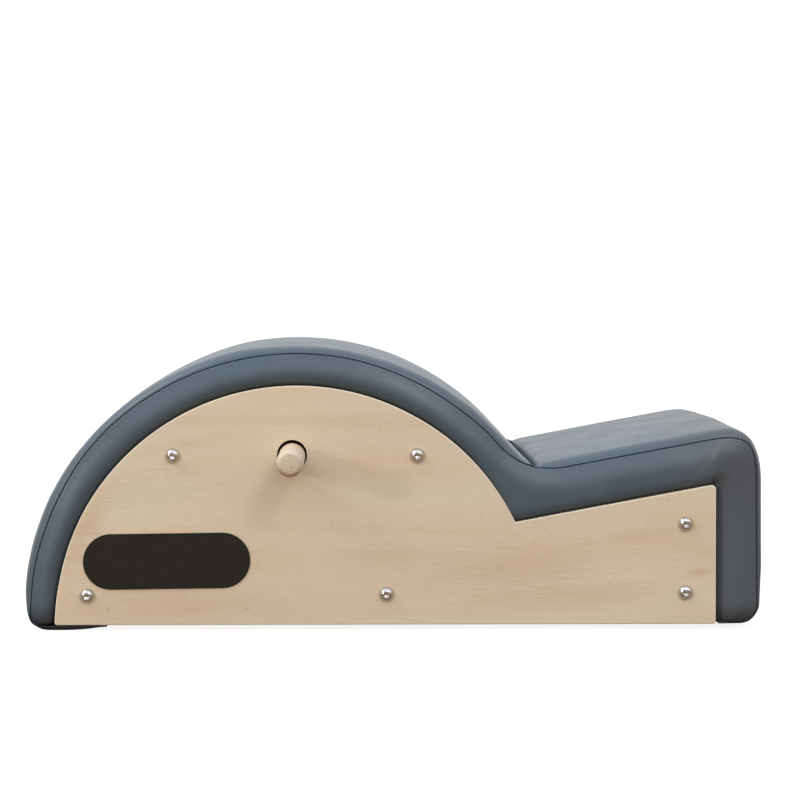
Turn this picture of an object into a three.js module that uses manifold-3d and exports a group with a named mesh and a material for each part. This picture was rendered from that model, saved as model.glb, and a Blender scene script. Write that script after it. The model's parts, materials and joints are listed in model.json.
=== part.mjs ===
// Pilates spine corrector: a padded arc with a sloping seat, carried by two plywood sides.
// Millimetres, +Z up, X along the length, Y across the width, front side panel at -Y.
import * as THREE from 'three';
import { mergeVertices } from 'three/addons/utils/BufferGeometryUtils.js';
import Module from 'manifold-3d';

const wasm = await Module();
wasm.setup();

// Overall form of the plywood side panels
const width = 420;
const panelThickness = 18;
const panelLift = 7;
const arcRadius = 304.5;
const arcCentreDrop = 4;
const panelReach = 525;
const endHeight = 176.8;
const seatSlopeDegrees = 10.6;
const seatCornerRadius = 7;
const footCornerRadius = 3.2;
const panelEdgeRound = 2.2;

// Inner frame
const ribThickness = 15;
const arcDeckThickness = 9;
const boardThickness = 12;
const railDepth = 36;
const railHeight = 70;
const upperRailHeight = 60;
const liningThickness = 1;
const lighteningHoleDiameter = 76;

// Saw kerfs that let the arc deck bend
const kerfCount = 38;
const kerfWidth = 2.6;
const kerfWeb = 3;

// Padding, measured outward from the panel's edge
const leatherThickness = 1.4;
const leatherTuck = 5;
const arcSeamHeight = 39.5;
const toeSeamHeight = 29;
const toeThinningDegrees = 44;
const seatSeamHeight = 55.4;
const endSeamHeight = 51.5;
const seatSeamCornerRadius = 40;
const padShoulderRise = 9.6;
const padShoulderWidth = 19;
const padCrown = 2.7;
const seamInset = 2;
const sideBulge = 1;
const toeCornerRadius = 20;
const heelCornerRadius = 38;
const flapLength = 64;
const flapInset = 10;

// Handles
const handleDiameter = 33;
const handleLength = 200;
const handleProtrusion = 100;
const handleNoseRound = 7.5;
const handleTailChamfer = 2;
const handleHoleDiameter = 37.5;
const handleHoleOffset = -5.4;
const handleHoleHeight = 212.6;
const guideClearance = 0.75;
const guideDepth = 60;
const guideWall = 20;

// Bolts, threaded inserts and feet
const boltDiameter = 10;
const boltLength = 60;
const boltHeadDiameter = 18.4;
const boltHeadHeight = 5.5;
const boltSocketAcross = 6;
const boltSocketDepth = 3;
const insertDiameter = 14;
const insertLength = 20;
const insertBoreDepth = 42;
const endBoltInset = 37.5;
const footDiameter = 26;
const footInset = 20;
const footBlockHeight = 30;
const footChamfer = 1;
const footRecessDiameter = 11;
const footRecessDepth = 3.4;
const screwDiameter = 4;
const screwHeadDiameter = 9;
const screwHeadHeight = 2.6;
const screwLength = 25;

// Name plate, bare
const plateLength = 208.6;
const plateHeight = 70.2;
const plateThickness = 1.2;
const plateEdgeRound = 0.3;
const plateCentreOffset = -161.9;
const plateCentreHeight = 80.4;

// Gap between pieces that touch, and the overrun of every cut
const fit = 0.3;
const overrun = 5;

// Places of the bolts on the arc, as shares of the arc's radius: along, and above the bottom edge
const arcBoltShares = {
  upper_left: [-0.507, 0.696],
  upper_right: [0.4965, 0.696],
  lower_left: [-0.858, 0.121],
  lower_middle: [0.37, 0.1255],
};

// Shares of the end's height: its bolts' heights above the bottom edge, and its rails' height
const endUpperBoltShare = 0.7115;
const endLowerBoltShare = 0.2248;
const endRailShare = 0.34;

// Places of the ribs' lightening holes and the toe's foot blocks, as shares of the arc's radius
const lighteningHoleShares = [
  [-0.46, 0.36],
  [-0.09, 0.36],
  [0.28, 0.42],
];
const footBlockShare = -0.673;

// Half of the pad's section as shares: [height over seam, out from the tuck to the bulge]
const padSideShares = [
  [0.62, 1],
  [0.3, 0.86],
  [0.11, 0.5],
];
const padCrownShares = [
  [0, 1],
  [0.55, 0.7],
];

// Facet counts
const arcSteps = 42;
const padArcSteps = 25;
const padCornerSteps = 7;
const padRoundSteps = 5;
const cornerSteps = 4;
const roundSteps = 2;
const boreSides = 12;
const handleHoleSides = 24;
const handleSides = 24;
const boltSides = 12;
const seatSteps = 5;
const endSteps = 2;
const shoulderSteps = 3;
const domeSteps = 3;
const noseSteps = 5;
const flapSteps = 5;
const hexSides = 6;

// Colours
const looks = {
  plywood: { color: 0xcfb898, roughness: 0.55, metalness: 0 },
  pine: { color: 0xd8c08f, roughness: 0.7, metalness: 0 },
  beech: { color: 0xd2b48c, roughness: 0.5, metalness: 0 },
  leather: { color: 0x5c6874, roughness: 0.45, metalness: 0 },
  foam: { color: 0xe8e2c8, roughness: 0.95, metalness: 0 },
  lining: { color: 0x1c1c1e, roughness: 0.95, metalness: 0 },
  steel: { color: 0xc9cbcd, roughness: 0.25, metalness: 1 },
  zinc: { color: 0xa8aaac, roughness: 0.45, metalness: 1 },
  plate: { color: 0x2b2824, roughness: 0.4, metalness: 0.1 },
  rubber: { color: 0x202022, roughness: 0.85, metalness: 0 },
};

// Levels and planes worked out from the sizes above
const quarterTurn = Math.PI / 2;
const seatSlope = THREE.MathUtils.degToRad(seatSlopeDegrees);
const halfWidth = width / 2;
const panelInner = halfWidth - panelThickness;
const tuckPlane = panelInner - fit;
const ribOuter = tuckPlane - leatherThickness - fit;
const ribInner = ribOuter - ribThickness;
const railHalfLength = ribInner - fit;
const arcCentreZ = panelLift - arcCentreDrop;
const liningBottom = panelLift + fit;
const liningTop = liningBottom + liningThickness;
const frameBottom = liningTop + fit;
const seamPlane = halfWidth - seamInset;
const bulgePlane = halfWidth + sideBulge;
const endTop = panelLift + endHeight;
const handleHoleZ = panelLift + handleHoleHeight;
const handleZ = handleHoleZ - (handleHoleDiameter - handleDiameter) / 2 + fit;
const guideBoreZ = handleZ + guideClearance - fit;

const footPlane = railHalfLength - footInset;
const footBlockX = footBlockShare * arcRadius;
const flapHalfWidth = bulgePlane - flapInset;
const toeBottom = fit;
const toePadBottom = toeBottom + leatherThickness + fit;
const toeAngle = Math.PI - Math.asin((frameBottom - arcCentreZ) / arcRadius);
const padCrossing = seatSeamHeight;

const seatAlong = new THREE.Vector2(Math.cos(seatSlope), Math.sin(seatSlope));
const seatOut = new THREE.Vector2(-seatAlong.y, seatAlong.x);
const arcCentre = new THREE.Vector2(0, arcCentreZ);
const endCorner = new THREE.Vector2(panelReach, endTop);

// Where the seat's line, run down from the end corner, meets the arc
function meetArc(point, along, centre, radius) {
  const from = point.clone().sub(centre);
  const reach = from.dot(along);
  const step = Math.sqrt(reach * reach - from.lengthSq() + radius * radius);
  return point.clone().addScaledVector(along, step - reach);
}

const notch = meetArc(endCorner, seatAlong, arcCentre, arcRadius);
const notchAngle = Math.atan2(notch.y - arcCentreZ, notch.x);

// The padding's stretch of arc, from below the notch to the top of the toe's round
const toeTop = toeBottom + toeCornerRadius;
const padArcStart = notchAngle - padCrossing / arcRadius;
const padArcEnd = Math.PI - Math.asin((toeTop - arcCentreZ) / arcRadius);
const padChord = Math.cos((padArcEnd - padArcStart) / padArcSteps / 2);

// Centres of the end corner's rounds, on the panel and on the seam
const seatCornerCentre = new THREE.Vector2(
  panelReach - seatCornerRadius,
  endTop - seatCornerRadius * Math.tan(seatSlope) - seatCornerRadius / Math.cos(seatSlope),
);
const seatSeamCentre = new THREE.Vector2(
  panelReach + endSeamHeight - seatSeamCornerRadius,
  endTop + (endSeamHeight - seatSeamCornerRadius) * Math.tan(seatSlope)
    + (seatSeamHeight - seatSeamCornerRadius) / Math.cos(seatSlope),
);

// The plane across the notch where the arc's pieces meet the seat's
const creaseTop = meetArc(
  endCorner.clone().addScaledVector(seatOut, seatSeamHeight + padShoulderRise),
  seatAlong,
  arcCentre,
  arcRadius + arcSeamHeight + padShoulderRise,
);
const creaseAlong = creaseTop.clone().sub(notch).normalize();
const creaseAcross = new THREE.Vector2(creaseAlong.y, -creaseAlong.x);

// Solids from three.js geometries and back
function signedVolume(geometry, index) {
  const [a, b, c] = [new THREE.Vector3(), new THREE.Vector3(), new THREE.Vector3()];
  const places = geometry.attributes.position;
  let sum = 0;
  for (let i = 0; i < index.length; i += 3) {
    a.fromBufferAttribute(places, index[i]);
    b.fromBufferAttribute(places, index[i + 1]);
    c.fromBufferAttribute(places, index[i + 2]);
    sum += a.dot(b.cross(c));
  }
  return sum;
}

function welded(geometry) {
  const bare = geometry.clone();
  for (const name of Object.keys(bare.attributes)) {
    if (name !== 'position') bare.deleteAttribute(name);
  }
  const merged = mergeVertices(bare);
  const corners = merged.index.array;
  const kept = [];
  for (let i = 0; i < corners.length; i += 3) {
    const [a, b, c] = [corners[i], corners[i + 1], corners[i + 2]];
    if (a !== b && b !== c && c !== a) kept.push(a, b, c);
  }
  merged.setIndex(signedVolume(merged, kept) < 0 ? kept.reverse() : kept);
  return merged;
}

function toSolid(geometry) {
  const merged = welded(geometry);
  const triVerts = new Uint32Array(merged.index.array);
  const vertProperties = new Float32Array(merged.attributes.position.array);
  return new wasm.Manifold(new wasm.Mesh({ numProp: 3, vertProperties, triVerts }));
}

function toGeometry(solid) {
  const mesh = solid.getMesh();
  const geometry = new THREE.BufferGeometry();
  geometry.setAttribute('position', new THREE.BufferAttribute(mesh.vertProperties, 3));
  geometry.setIndex(new THREE.BufferAttribute(mesh.triVerts, 1));
  geometry.computeVertexNormals();
  return geometry;
}

function cut(geometry, ...tools) {
  let solid = toSolid(geometry);
  for (const tool of tools) solid = solid.subtract(toSolid(tool));
  return toGeometry(solid);
}

// Outlines in the XZ plane
function onArc(angle, radius) {
  return new THREE.Vector2(radius * Math.cos(angle), radius * Math.sin(angle));
}

function arcPoints(centre, radius, from, to, steps) {
  return Array.from({ length: steps + 1 }, (_, i) => (
    onArc(THREE.MathUtils.lerp(from, to, i / steps), radius).add(centre)
  ));
}

function circle(centre, diameter, sides) {
  return arcPoints(centre, diameter / 2, 0, 2 * Math.PI, sides).slice(0, -1);
}

function sideOutline(bottom) {
  const low = bottom + footCornerRadius;
  const footAngle = Math.PI - Math.asin((low - arcCentreZ) / arcRadius);
  const heel = new THREE.Vector2(panelReach - footCornerRadius, low);
  const toe = new THREE.Vector2(arcRadius * Math.cos(footAngle) + footCornerRadius, low);
  return [
    ...arcPoints(heel, footCornerRadius, -quarterTurn, 0, cornerSteps),
    ...arcPoints(seatCornerCentre, seatCornerRadius, 0, quarterTurn + seatSlope, cornerSteps),
    ...arcPoints(arcCentre, arcRadius, notchAngle, footAngle, arcSteps),
    ...arcPoints(toe, footCornerRadius, Math.PI, Math.PI + quarterTurn, cornerSteps).slice(1),
  ];
}

// A board lying in the XZ plane, from y = -thickness to y = 0
function slab(outline, thickness, holes = [], round = 0) {
  const shape = new THREE.Shape(outline);
  shape.holes = holes.map((points) => new THREE.Path(points));
  const geometry = new THREE.ExtrudeGeometry(shape, {
    depth: thickness - 2 * round,
    bevelEnabled: round > 0,
    bevelThickness: round,
    bevelSize: round,
    bevelOffset: -round,
    bevelSegments: roundSteps,
  });
  geometry.translate(0, 0, round);
  geometry.rotateX(quarterTurn);
  return geometry;
}

// A drill along Y that passes well beyond both faces of what it cuts
function drill(place, diameter, length, middleY) {
  const geometry = new THREE.CylinderGeometry(diameter / 2, diameter / 2, length, boreSides);
  geometry.translate(place.x, middleY, place.y);
  return geometry;
}

// Bolt places: the four on the arc, the two by the end
const boltPlaces = Object.fromEntries(
  Object.entries(arcBoltShares).map(([name, [along, up]]) => (
    [name, new THREE.Vector2(along * arcRadius, panelLift + up * arcRadius)]
  )),
);
boltPlaces.end_upper = new THREE.Vector2(
  panelReach - endBoltInset,
  panelLift + endUpperBoltShare * endHeight,
);
boltPlaces.end_lower = new THREE.Vector2(
  panelReach - endBoltInset,
  panelLift + endLowerBoltShare * endHeight,
);

// Feet: two under the end's lower rail, two under blocks beside the arc's toe
const footPlaces = [
  { name: 'toe_front', x: footBlockX, y: -footPlane },
  { name: 'toe_back', x: footBlockX, y: footPlane },
  { name: 'end_front', x: boltPlaces.end_lower.x, y: -footPlane },
  { name: 'end_back', x: boltPlaces.end_lower.x, y: footPlane },
];

// Side panels
function sidePanel() {
  const handleHole = new THREE.Vector2(handleHoleOffset, handleHoleZ);
  const holes = [circle(handleHole, handleHoleDiameter, handleHoleSides)];
  const panel = slab(sideOutline(panelLift), panelThickness, holes, panelEdgeRound);
  const drills = Object.values(boltPlaces).map((place) => (
    drill(place, boltDiameter + 2 * fit, panelThickness + overrun, -panelThickness / 2)
  ));
  return cut(panel, ...drills);
}

// Inner ribs, with the handle's hole, the bolt holes and three round holes that save weight
function innerRib() {
  const handleHole = new THREE.Vector2(handleHoleOffset, handleHoleZ);
  const holes = [circle(handleHole, handleHoleDiameter, handleHoleSides)];
  for (const [along, up] of lighteningHoleShares) {
    const place = new THREE.Vector2(along * arcRadius, panelLift + up * arcRadius);
    holes.push(circle(place, lighteningHoleDiameter, handleHoleSides));
  }
  const rib = slab(sideOutline(frameBottom), ribThickness, holes);
  const drills = Object.values(boltPlaces).map((place) => (
    drill(place, boltDiameter + 2 * fit, ribThickness + overrun, -ribThickness / 2)
  ));
  return cut(rib, ...drills);
}

// Stations along the padded edge: a foot on the panel's edge, the way out, the seam's height
function pointAt({ foot, out }, height) {
  return foot.clone().addScaledVector(out, height);
}

function arcSeam(angle) {
  const share = (Math.PI - angle) / THREE.MathUtils.degToRad(toeThinningDegrees);
  return THREE.MathUtils.lerp(toeSeamHeight, arcSeamHeight, THREE.MathUtils.smoothstep(share, 0, 1));
}

// What a rounded lower corner takes off the padding, at a height above its underside
function cornerCut(radius, height) {
  const below = Math.max(radius - height, 0);
  return radius - Math.sqrt(radius * radius - below * below);
}

// From beyond the notch, over the arc and down to the toe, then level slices round the toe
function arcStations() {
  const feet = arcPoints(arcCentre, arcRadius, padArcStart, padArcEnd, padArcSteps);
  const stations = feet.map((foot, i) => {
    const angle = THREE.MathUtils.lerp(padArcStart, padArcEnd, i / padArcSteps);
    return { foot, out: onArc(angle, 1), seam: arcSeam(angle) };
  });
  for (let i = 1; i <= padRoundSteps; i += 1) {
    const z = THREE.MathUtils.lerp(toeTop, toePadBottom, Math.sin(quarterTurn * i / padRoundSteps));
    const x = -Math.sqrt(arcRadius * arcRadius - (z - arcCentreZ) ** 2);
    const seam = toeSeamHeight - cornerCut(toeCornerRadius, z - toeBottom);
    stations.push({ foot: new THREE.Vector2(x, z), out: new THREE.Vector2(-1, 0), seam });
  }
  return stations;
}

// From before the notch, up the seat, round its end and down to the heel
function seatStations() {
  const start = notch.clone().addScaledVector(seatAlong, -padCrossing);
  const cornerFoot = seatCornerCentre.clone().addScaledVector(seatOut, seatCornerRadius);
  const stations = [];
  for (let i = 0; i < seatSteps; i += 1) {
    const foot = start.clone().lerp(cornerFoot, i / seatSteps);
    stations.push({ foot, out: seatOut, seam: seatSeamHeight });
  }
  for (let i = 0; i <= padCornerSteps; i += 1) {
    const turn = onArc((quarterTurn + seatSlope) * (1 - i / padCornerSteps), 1);
    const foot = seatCornerCentre.clone().addScaledVector(turn, seatCornerRadius);
    const way = seatSeamCentre.clone().addScaledVector(turn, seatSeamCornerRadius).sub(foot);
    stations.push({ foot, out: way.clone().normalize(), seam: way.length() });
  }
  const out = new THREE.Vector2(1, 0);
  const top = seatCornerCentre.y - padShoulderWidth;
  const low = frameBottom + heelCornerRadius;
  for (let i = 0; i < endSteps; i += 1) {
    const foot = new THREE.Vector2(panelReach, THREE.MathUtils.lerp(top, low, i / endSteps));
    stations.push({ foot, out, seam: endSeamHeight });
  }
  for (let i = 0; i <= padRoundSteps; i += 1) {
    const z = THREE.MathUtils.lerp(low, frameBottom, Math.sin(quarterTurn * i / padRoundSteps));
    const seam = endSeamHeight - cornerCut(heelCornerRadius, z - frameBottom);
    stations.push({ foot: new THREE.Vector2(panelReach, z), out, seam });
  }
  return stations;
}

// The pad's outer section at a station, across and out, from the front tuck to the back one
function padSection({ seam }) {
  const shoulderStart = seamPlane - padShoulderWidth;
  const crest = seam + padShoulderRise;
  const half = padCrownShares.map(([across, rise]) => (
    new THREE.Vector2(across * shoulderStart, crest + rise * padCrown)
  ));
  for (let i = 0; i <= shoulderSteps; i += 1) {
    const turn = onArc(quarterTurn * (1 - i / shoulderSteps), 1);
    half.push(new THREE.Vector2(
      shoulderStart + padShoulderWidth * turn.x,
      seam + padShoulderRise * turn.y,
    ));
  }
  for (const [up, across] of padSideShares) {
    half.push(new THREE.Vector2(THREE.MathUtils.lerp(tuckPlane, bulgePlane, across), up * seam));
  }
  half.push(new THREE.Vector2(tuckPlane, 2 * fit), new THREE.Vector2(tuckPlane, -leatherTuck));
  const front = half.slice(1).reverse().map((point) => new THREE.Vector2(-point.x, point.y));
  return [...front, ...half];
}

// A line moved to its right by a distance, with mitred corners
function moved(line, distance) {
  const normals = line.slice(1).map((point, i) => {
    const along = point.clone().sub(line[i]).normalize();
    return new THREE.Vector2(along.y, -along.x);
  });
  return line.map((point, i) => {
    const before = normals[Math.max(i - 1, 0)];
    const after = normals[Math.min(i, normals.length - 1)];
    const mitre = before.clone().add(after).normalize();
    return point.clone().addScaledVector(mitre, distance / mitre.dot(before));
  });
}

// A closed solid through like sections, one at each station, split along the shorter diagonals
function loft(stations, sectionAt) {
  const sections = stations.map(sectionAt);
  const count = sections[0].length;
  const points = sections.flatMap((section, i) => section.map((point) => {
    const place = pointAt(stations[i], point.y);
    return new THREE.Vector3(place.x, point.x, place.y);
  }));
  const index = [];
  for (let i = 0; i + 1 < sections.length; i += 1) {
    for (let j = 0; j < count; j += 1) {
      const a = i * count + j;
      const b = i * count + (j + 1) % count;
      const [c, d] = [a + count, b + count];
      const alongAD = points[a].distanceTo(points[d]) < points[b].distanceTo(points[c]);
      index.push(...(alongAD ? [a, b, d, a, d, c] : [a, b, c, b, d, c]));
    }
  }
  const last = (sections.length - 1) * count;
  for (const [a, b, c] of THREE.ShapeUtils.triangulateShape(sections[0], [])) {
    index.push(a, b, c);
  }
  for (const [a, b, c] of THREE.ShapeUtils.triangulateShape(sections.at(-1), [])) {
    index.push(last + a, last + c, last + b);
  }
  const geometry = new THREE.BufferGeometry();
  geometry.setFromPoints(points);
  geometry.setIndex(index);
  return geometry;
}

// A block over one side of the crease's plane, and half the gap: side 1 is the seat's, -1 the arc's
function creaseBlock(side) {
  const block = new THREE.BoxGeometry(arcRadius, 2 * width, arcRadius);
  block.rotateY(Math.atan2(creaseAlong.x, creaseAlong.y));
  const middle = notch.clone().addScaledVector(creaseAcross, side * (arcRadius - fit) / 2);
  block.translate(middle.x, 0, middle.y);
  return block;
}

// Leather cover, one skin from tuck to tuck
function leatherCover(stations, side) {
  const cover = loft(stations, (at) => {
    const outer = padSection(at);
    return [...outer, ...moved(outer, leatherThickness).reverse()];
  });
  return cut(cover, creaseBlock(side));
}

// Foam from the cover down to a floor above the boards, with lips down the frame's sides
function foamPad(stations, floor, side) {
  const lip = ribOuter + fit;
  const pad = loft(stations, (at) => {
    const outer = moved(padSection(at).slice(2, -2), leatherThickness + 2 * fit);
    return [
      ...outer,
      new THREE.Vector2(lip, outer.at(-1).y),
      new THREE.Vector2(lip, floor),
      new THREE.Vector2(-lip, floor),
      new THREE.Vector2(-lip, outer[0].y),
    ];
  });
  return cut(pad, creaseBlock(side));
}

// Arc deck, bent over the ribs: saw kerfs across its underside leave a thin web
function arcDeck() {
  const inner = arcRadius + fit;
  const outer = inner + arcDeckThickness;
  const kerfRoot = outer - kerfWeb;
  const halfKerf = kerfWidth / 2 / inner;
  const kerfEnd = notchAngle + 2 * arcDeckThickness / arcRadius;
  const outline = arcPoints(arcCentre, outer, padArcStart, toeAngle, arcSteps);
  outline.push(...arcPoints(arcCentre, inner, toeAngle, toeAngle, 1).slice(1));
  for (let i = 0; i < kerfCount; i += 1) {
    const share = (i + 1 / 2) / kerfCount;
    const angle = THREE.MathUtils.lerp(toeAngle, kerfEnd, share);
    outline.push(
      onArc(angle + halfKerf, inner).add(arcCentre),
      onArc(angle + halfKerf, kerfRoot).add(arcCentre),
      onArc(angle - halfKerf, kerfRoot).add(arcCentre),
      onArc(angle - halfKerf, inner).add(arcCentre),
    );
  }
  outline.push(...arcPoints(arcCentre, inner, notchAngle, padArcStart, 1));
  return cut(slab(outline, 2 * ribOuter), creaseBlock(1).translate(0, -ribOuter, 0));
}

// Seat board, rounded over at its end, and the board down the end
function boardAlong(stations) {
  const upper = stations.map((at) => pointAt(at, fit + boardThickness));
  const lower = stations.map((at) => pointAt(at, fit));
  return slab([...upper, ...lower.reverse()], 2 * ribOuter);
}

function seatBoard(stations) {
  return cut(boardAlong(stations), creaseBlock(-1).translate(0, -ribOuter, 0));
}

function endBoard([first, ...rest]) {
  const foot = first.foot.clone().sub(new THREE.Vector2(0, fit));
  return boardAlong([{ ...first, foot }, ...rest]);
}

// Leather turned under at both ends
function toeFlap() {
  const tip = -(arcRadius + toeSeamHeight + padShoulderRise - toeCornerRadius);
  const step = -(arcRadius - leatherTuck - fit);
  const hemTop = panelLift - fit;
  const skinTop = toeBottom + leatherThickness;
  const outline = [new THREE.Vector2(step, skinTop), new THREE.Vector2(tip, skinTop)];
  outline.push(new THREE.Vector2(tip, toeBottom));
  for (let i = 0; i <= flapSteps; i += 1) {
    const share = i / flapSteps;
    const rise = THREE.MathUtils.lerp(toeBottom, hemTop - leatherThickness, share * share);
    outline.push(new THREE.Vector2(step + flapLength * share, rise));
  }
  outline.push(new THREE.Vector2(step + flapLength, hemTop), new THREE.Vector2(step, hemTop));
  return slab(outline, 2 * flapHalfWidth);
}

function heelFlap() {
  const length = endSeamHeight + padShoulderRise - heelCornerRadius;
  return new THREE.BoxGeometry(length, 2 * flapHalfWidth, leatherThickness);
}

// Cross rails, drilled at both ends for the inserts and from below for the feet
function rail(height, { boreUp, footed }) {
  const geometry = new THREE.BoxGeometry(railDepth, 2 * railHalfLength, height);
  const bores = [-1, 1].map((end) => {
    const bore = drill(new THREE.Vector2(0, 0), insertDiameter + 2 * fit, 2 * insertBoreDepth, 0);
    return bore.translate(0, end * railHalfLength, boreUp);
  });
  const footHoles = footed ? [-1, 1].map((end) => screwHole(0, end * footPlane, -height / 2)) : [];
  return cut(geometry, ...bores, ...footHoles);
}

// A screw's hole, up from a level
function screwHole(x, y, level) {
  const diameter = screwDiameter + 2 * fit;
  const hole = new THREE.CylinderGeometry(diameter / 2, diameter / 2, 2 * screwLength, boreSides);
  return hole.rotateX(quarterTurn).translate(x, y, level);
}

function footBlock() {
  const depth = 2 * footInset;
  const geometry = new THREE.BoxGeometry(railDepth, depth, footBlockHeight);
  return cut(geometry, screwHole(0, 0, -footBlockHeight / 2));
}

// Black cloth lining stapled under the frame, pierced by the feet's screws
function bottomLining() {
  const left = -(arcRadius - leatherTuck);
  const outline = [
    new THREE.Vector2(left, -ribOuter),
    new THREE.Vector2(panelReach, -ribOuter),
    new THREE.Vector2(panelReach, ribOuter),
    new THREE.Vector2(left, ribOuter),
  ];
  const shape = new THREE.Shape(outline);
  shape.holes = footPlaces.map(({ x, y }) => (
    new THREE.Path(circle(new THREE.Vector2(x, y), screwDiameter + 2 * fit, boreSides))
  ));
  return new THREE.ExtrudeGeometry(shape, { depth: liningThickness, bevelEnabled: false });
}

// Turned pieces: a profile of [radius, height] corners, revolved about Y
function turned(corners, sides) {
  return new THREE.LatheGeometry(corners.map(([r, y]) => new THREE.Vector2(r, y)), sides);
}

function rubberFoot() {
  const radius = footDiameter / 2;
  const hole = screwDiameter / 2 + fit;
  const recess = footRecessDiameter / 2;
  return turned([
    [hole, footRecessDepth],
    [recess, footRecessDepth],
    [recess, 0],
    [radius - footChamfer, 0],
    [radius, footChamfer],
    [radius, panelLift],
    [hole, panelLift],
    [hole, footRecessDepth],
  ], boreSides).rotateX(quarterTurn);
}

function footScrew() {
  const head = screwHeadDiameter / 2;
  return turned([
    [0, -screwHeadHeight],
    [head / 2, -screwHeadHeight],
    [head, -screwHeadHeight / 2],
    [head, 0],
    [screwDiameter / 2, 0],
    [screwDiameter / 2, screwLength - screwDiameter],
    [0, screwLength],
  ], boltSides / 2).rotateX(quarterTurn);
}

// Button-head bolt with a hexagon socket: head towards -Y, its underside at y = 0
function bolt() {
  const head = boltHeadDiameter / 2;
  const socket = boltSocketAcross / Math.sqrt(3);
  const rim = boltHeadHeight / 5;
  const dome = Array.from({ length: domeSteps + 1 }, (_, i) => {
    const turn = onArc(quarterTurn * (1 - i / domeSteps), 1);
    return [
      THREE.MathUtils.lerp(socket, head, turn.x),
      -rim - (boltHeadHeight - rim) * turn.y,
    ];
  });
  const blank = turned([
    [0, -boltHeadHeight],
    ...dome,
    [head, 0],
    [boltDiameter / 2, 0],
    [boltDiameter / 2, boltLength - boltDiameter / 5],
    [boltDiameter / 3, boltLength],
    [0, boltLength],
  ], boltSides);
  const key = new THREE.CylinderGeometry(socket, socket, 2 * boltSocketDepth, hexSides);
  return cut(blank, key.translate(0, -boltHeadHeight, 0));
}

function threadedInsert() {
  const bore = boltDiameter / 2 + fit;
  const radius = insertDiameter / 2;
  return turned([[bore, 0], [radius, 0], [radius, insertLength], [bore, insertLength], [bore, 0]], boltSides);
}

// Turned wooden handle: nose towards -Y, tail at y = 0
function handle() {
  const radius = handleDiameter / 2;
  const nose = Array.from({ length: noseSteps + 1 }, (_, i) => {
    const turn = onArc(quarterTurn * (1 - i / noseSteps), handleNoseRound);
    return [radius - handleNoseRound + turn.x, handleNoseRound - handleLength - turn.y];
  });
  return turned([
    [0, -handleLength],
    ...nose,
    [radius, -handleTailChamfer],
    [radius - handleTailChamfer, 0],
    [0, 0],
  ], handleSides);
}

function handleGuide() {
  const across = handleDiameter + 2 * guideWall;
  const bore = (handleDiameter + 2 * guideClearance) / 2;
  const geometry = new THREE.BoxGeometry(across, guideDepth, across);
  const drillLength = guideDepth + overrun;
  return cut(geometry, new THREE.CylinderGeometry(bore, bore, drillLength, handleHoleSides));
}

function namePlate() {
  const end = plateHeight / 2;
  const middle = plateLength / 2 - end;
  const outline = [
    ...arcPoints(new THREE.Vector2(middle, 0), end, -quarterTurn, quarterTurn, boreSides),
    ...arcPoints(new THREE.Vector2(-middle, 0), end, quarterTurn, 3 * quarterTurn, boreSides),
  ];
  return slab(outline, plateThickness, [], plateEdgeRound);
}

// Assembly
const assembly = new THREE.Group();

function add(name, geometry, look, x = 0, y = 0, z = 0) {
  const solid = toGeometry(toSolid(geometry));
  const mesh = new THREE.Mesh(solid, new THREE.MeshStandardMaterial(looks[look]));
  mesh.name = name;
  mesh.position.set(x, y, z);
  assembly.add(mesh);
  return mesh;
}

// The same piece on both sides; the back one is turned half a turn about Z
function addPair(name, geometry, look, x, y, z) {
  add(`${name}_front`, geometry, look, x, -y, z);
  add(`${name}_back`, geometry, look, x, y, z).rotation.z = Math.PI;
}

const panel = sidePanel();
add('side_panel_front', panel, 'plywood', 0, -panelInner);
add('side_panel_back', panel, 'plywood', 0, halfWidth);
const rib = innerRib();
add('inner_rib_front', rib, 'plywood', 0, -ribInner);
add('inner_rib_back', rib, 'plywood', 0, ribOuter);

add('arc_deck', arcDeck(), 'plywood', 0, ribOuter);
const arcPath = arcStations();
const seatPath = seatStations();
const cornerEnd = seatSteps + padCornerSteps;
add('seat_board', seatBoard(seatPath.slice(0, cornerEnd + 1)), 'plywood', 0, ribOuter);
add('end_board', endBoard(seatPath.slice(cornerEnd)), 'plywood', 0, ribOuter);

for (const [name, place] of Object.entries(boltPlaces)) {
  const upper = name.includes('upper');
  const arcRailHeight = upper ? upperRailHeight : railHeight;
  const height = name.startsWith('end') ? endRailShare * endHeight : arcRailHeight;
  const middleZ = upper ? place.y : frameBottom + height / 2;
  const options = { boreUp: place.y - middleZ, footed: name === 'end_lower' };
  add(`rail_${name}`, rail(height, options), 'pine', place.x, 0, middleZ);
  addPair(`bolt_${name}`, bolt(), 'steel', place.x, halfWidth + fit, place.y);
  addPair(`insert_${name}`, threadedInsert(), 'zinc', place.x, railHalfLength - fit, place.y);
}

addPair('foot_block', footBlock(), 'pine', footBlockX, footPlane, frameBottom + footBlockHeight / 2);
add('bottom_lining', bottomLining(), 'lining', 0, 0, liningBottom);
for (const { name, x, y } of footPlaces) {
  add(`foot_${name}`, rubberFoot(), 'rubber', x, y);
  add(`foot_screw_${name}`, footScrew(), 'zinc', x, y, footRecessDepth - fit);
}

const deckTop = arcRadius + arcDeckThickness + 2 * fit;
add('arc_foam', foamPad(arcPath, deckTop / padChord - arcRadius, 1), 'foam');
add('seat_foam', foamPad(seatPath, boardThickness + 2 * fit, -1), 'foam');
add('arc_cover', leatherCover(arcPath, 1), 'leather');
add('seat_cover', leatherCover(seatPath, -1), 'leather');
add('toe_flap', toeFlap(), 'leather', 0, flapHalfWidth);
const heelMiddle = (endSeamHeight + padShoulderRise - heelCornerRadius) / 2;
const heelZ = frameBottom - fit - leatherThickness / 2;
add('heel_flap', heelFlap(), 'leather', panelReach + 2 * fit + heelMiddle, 0, heelZ);

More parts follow.
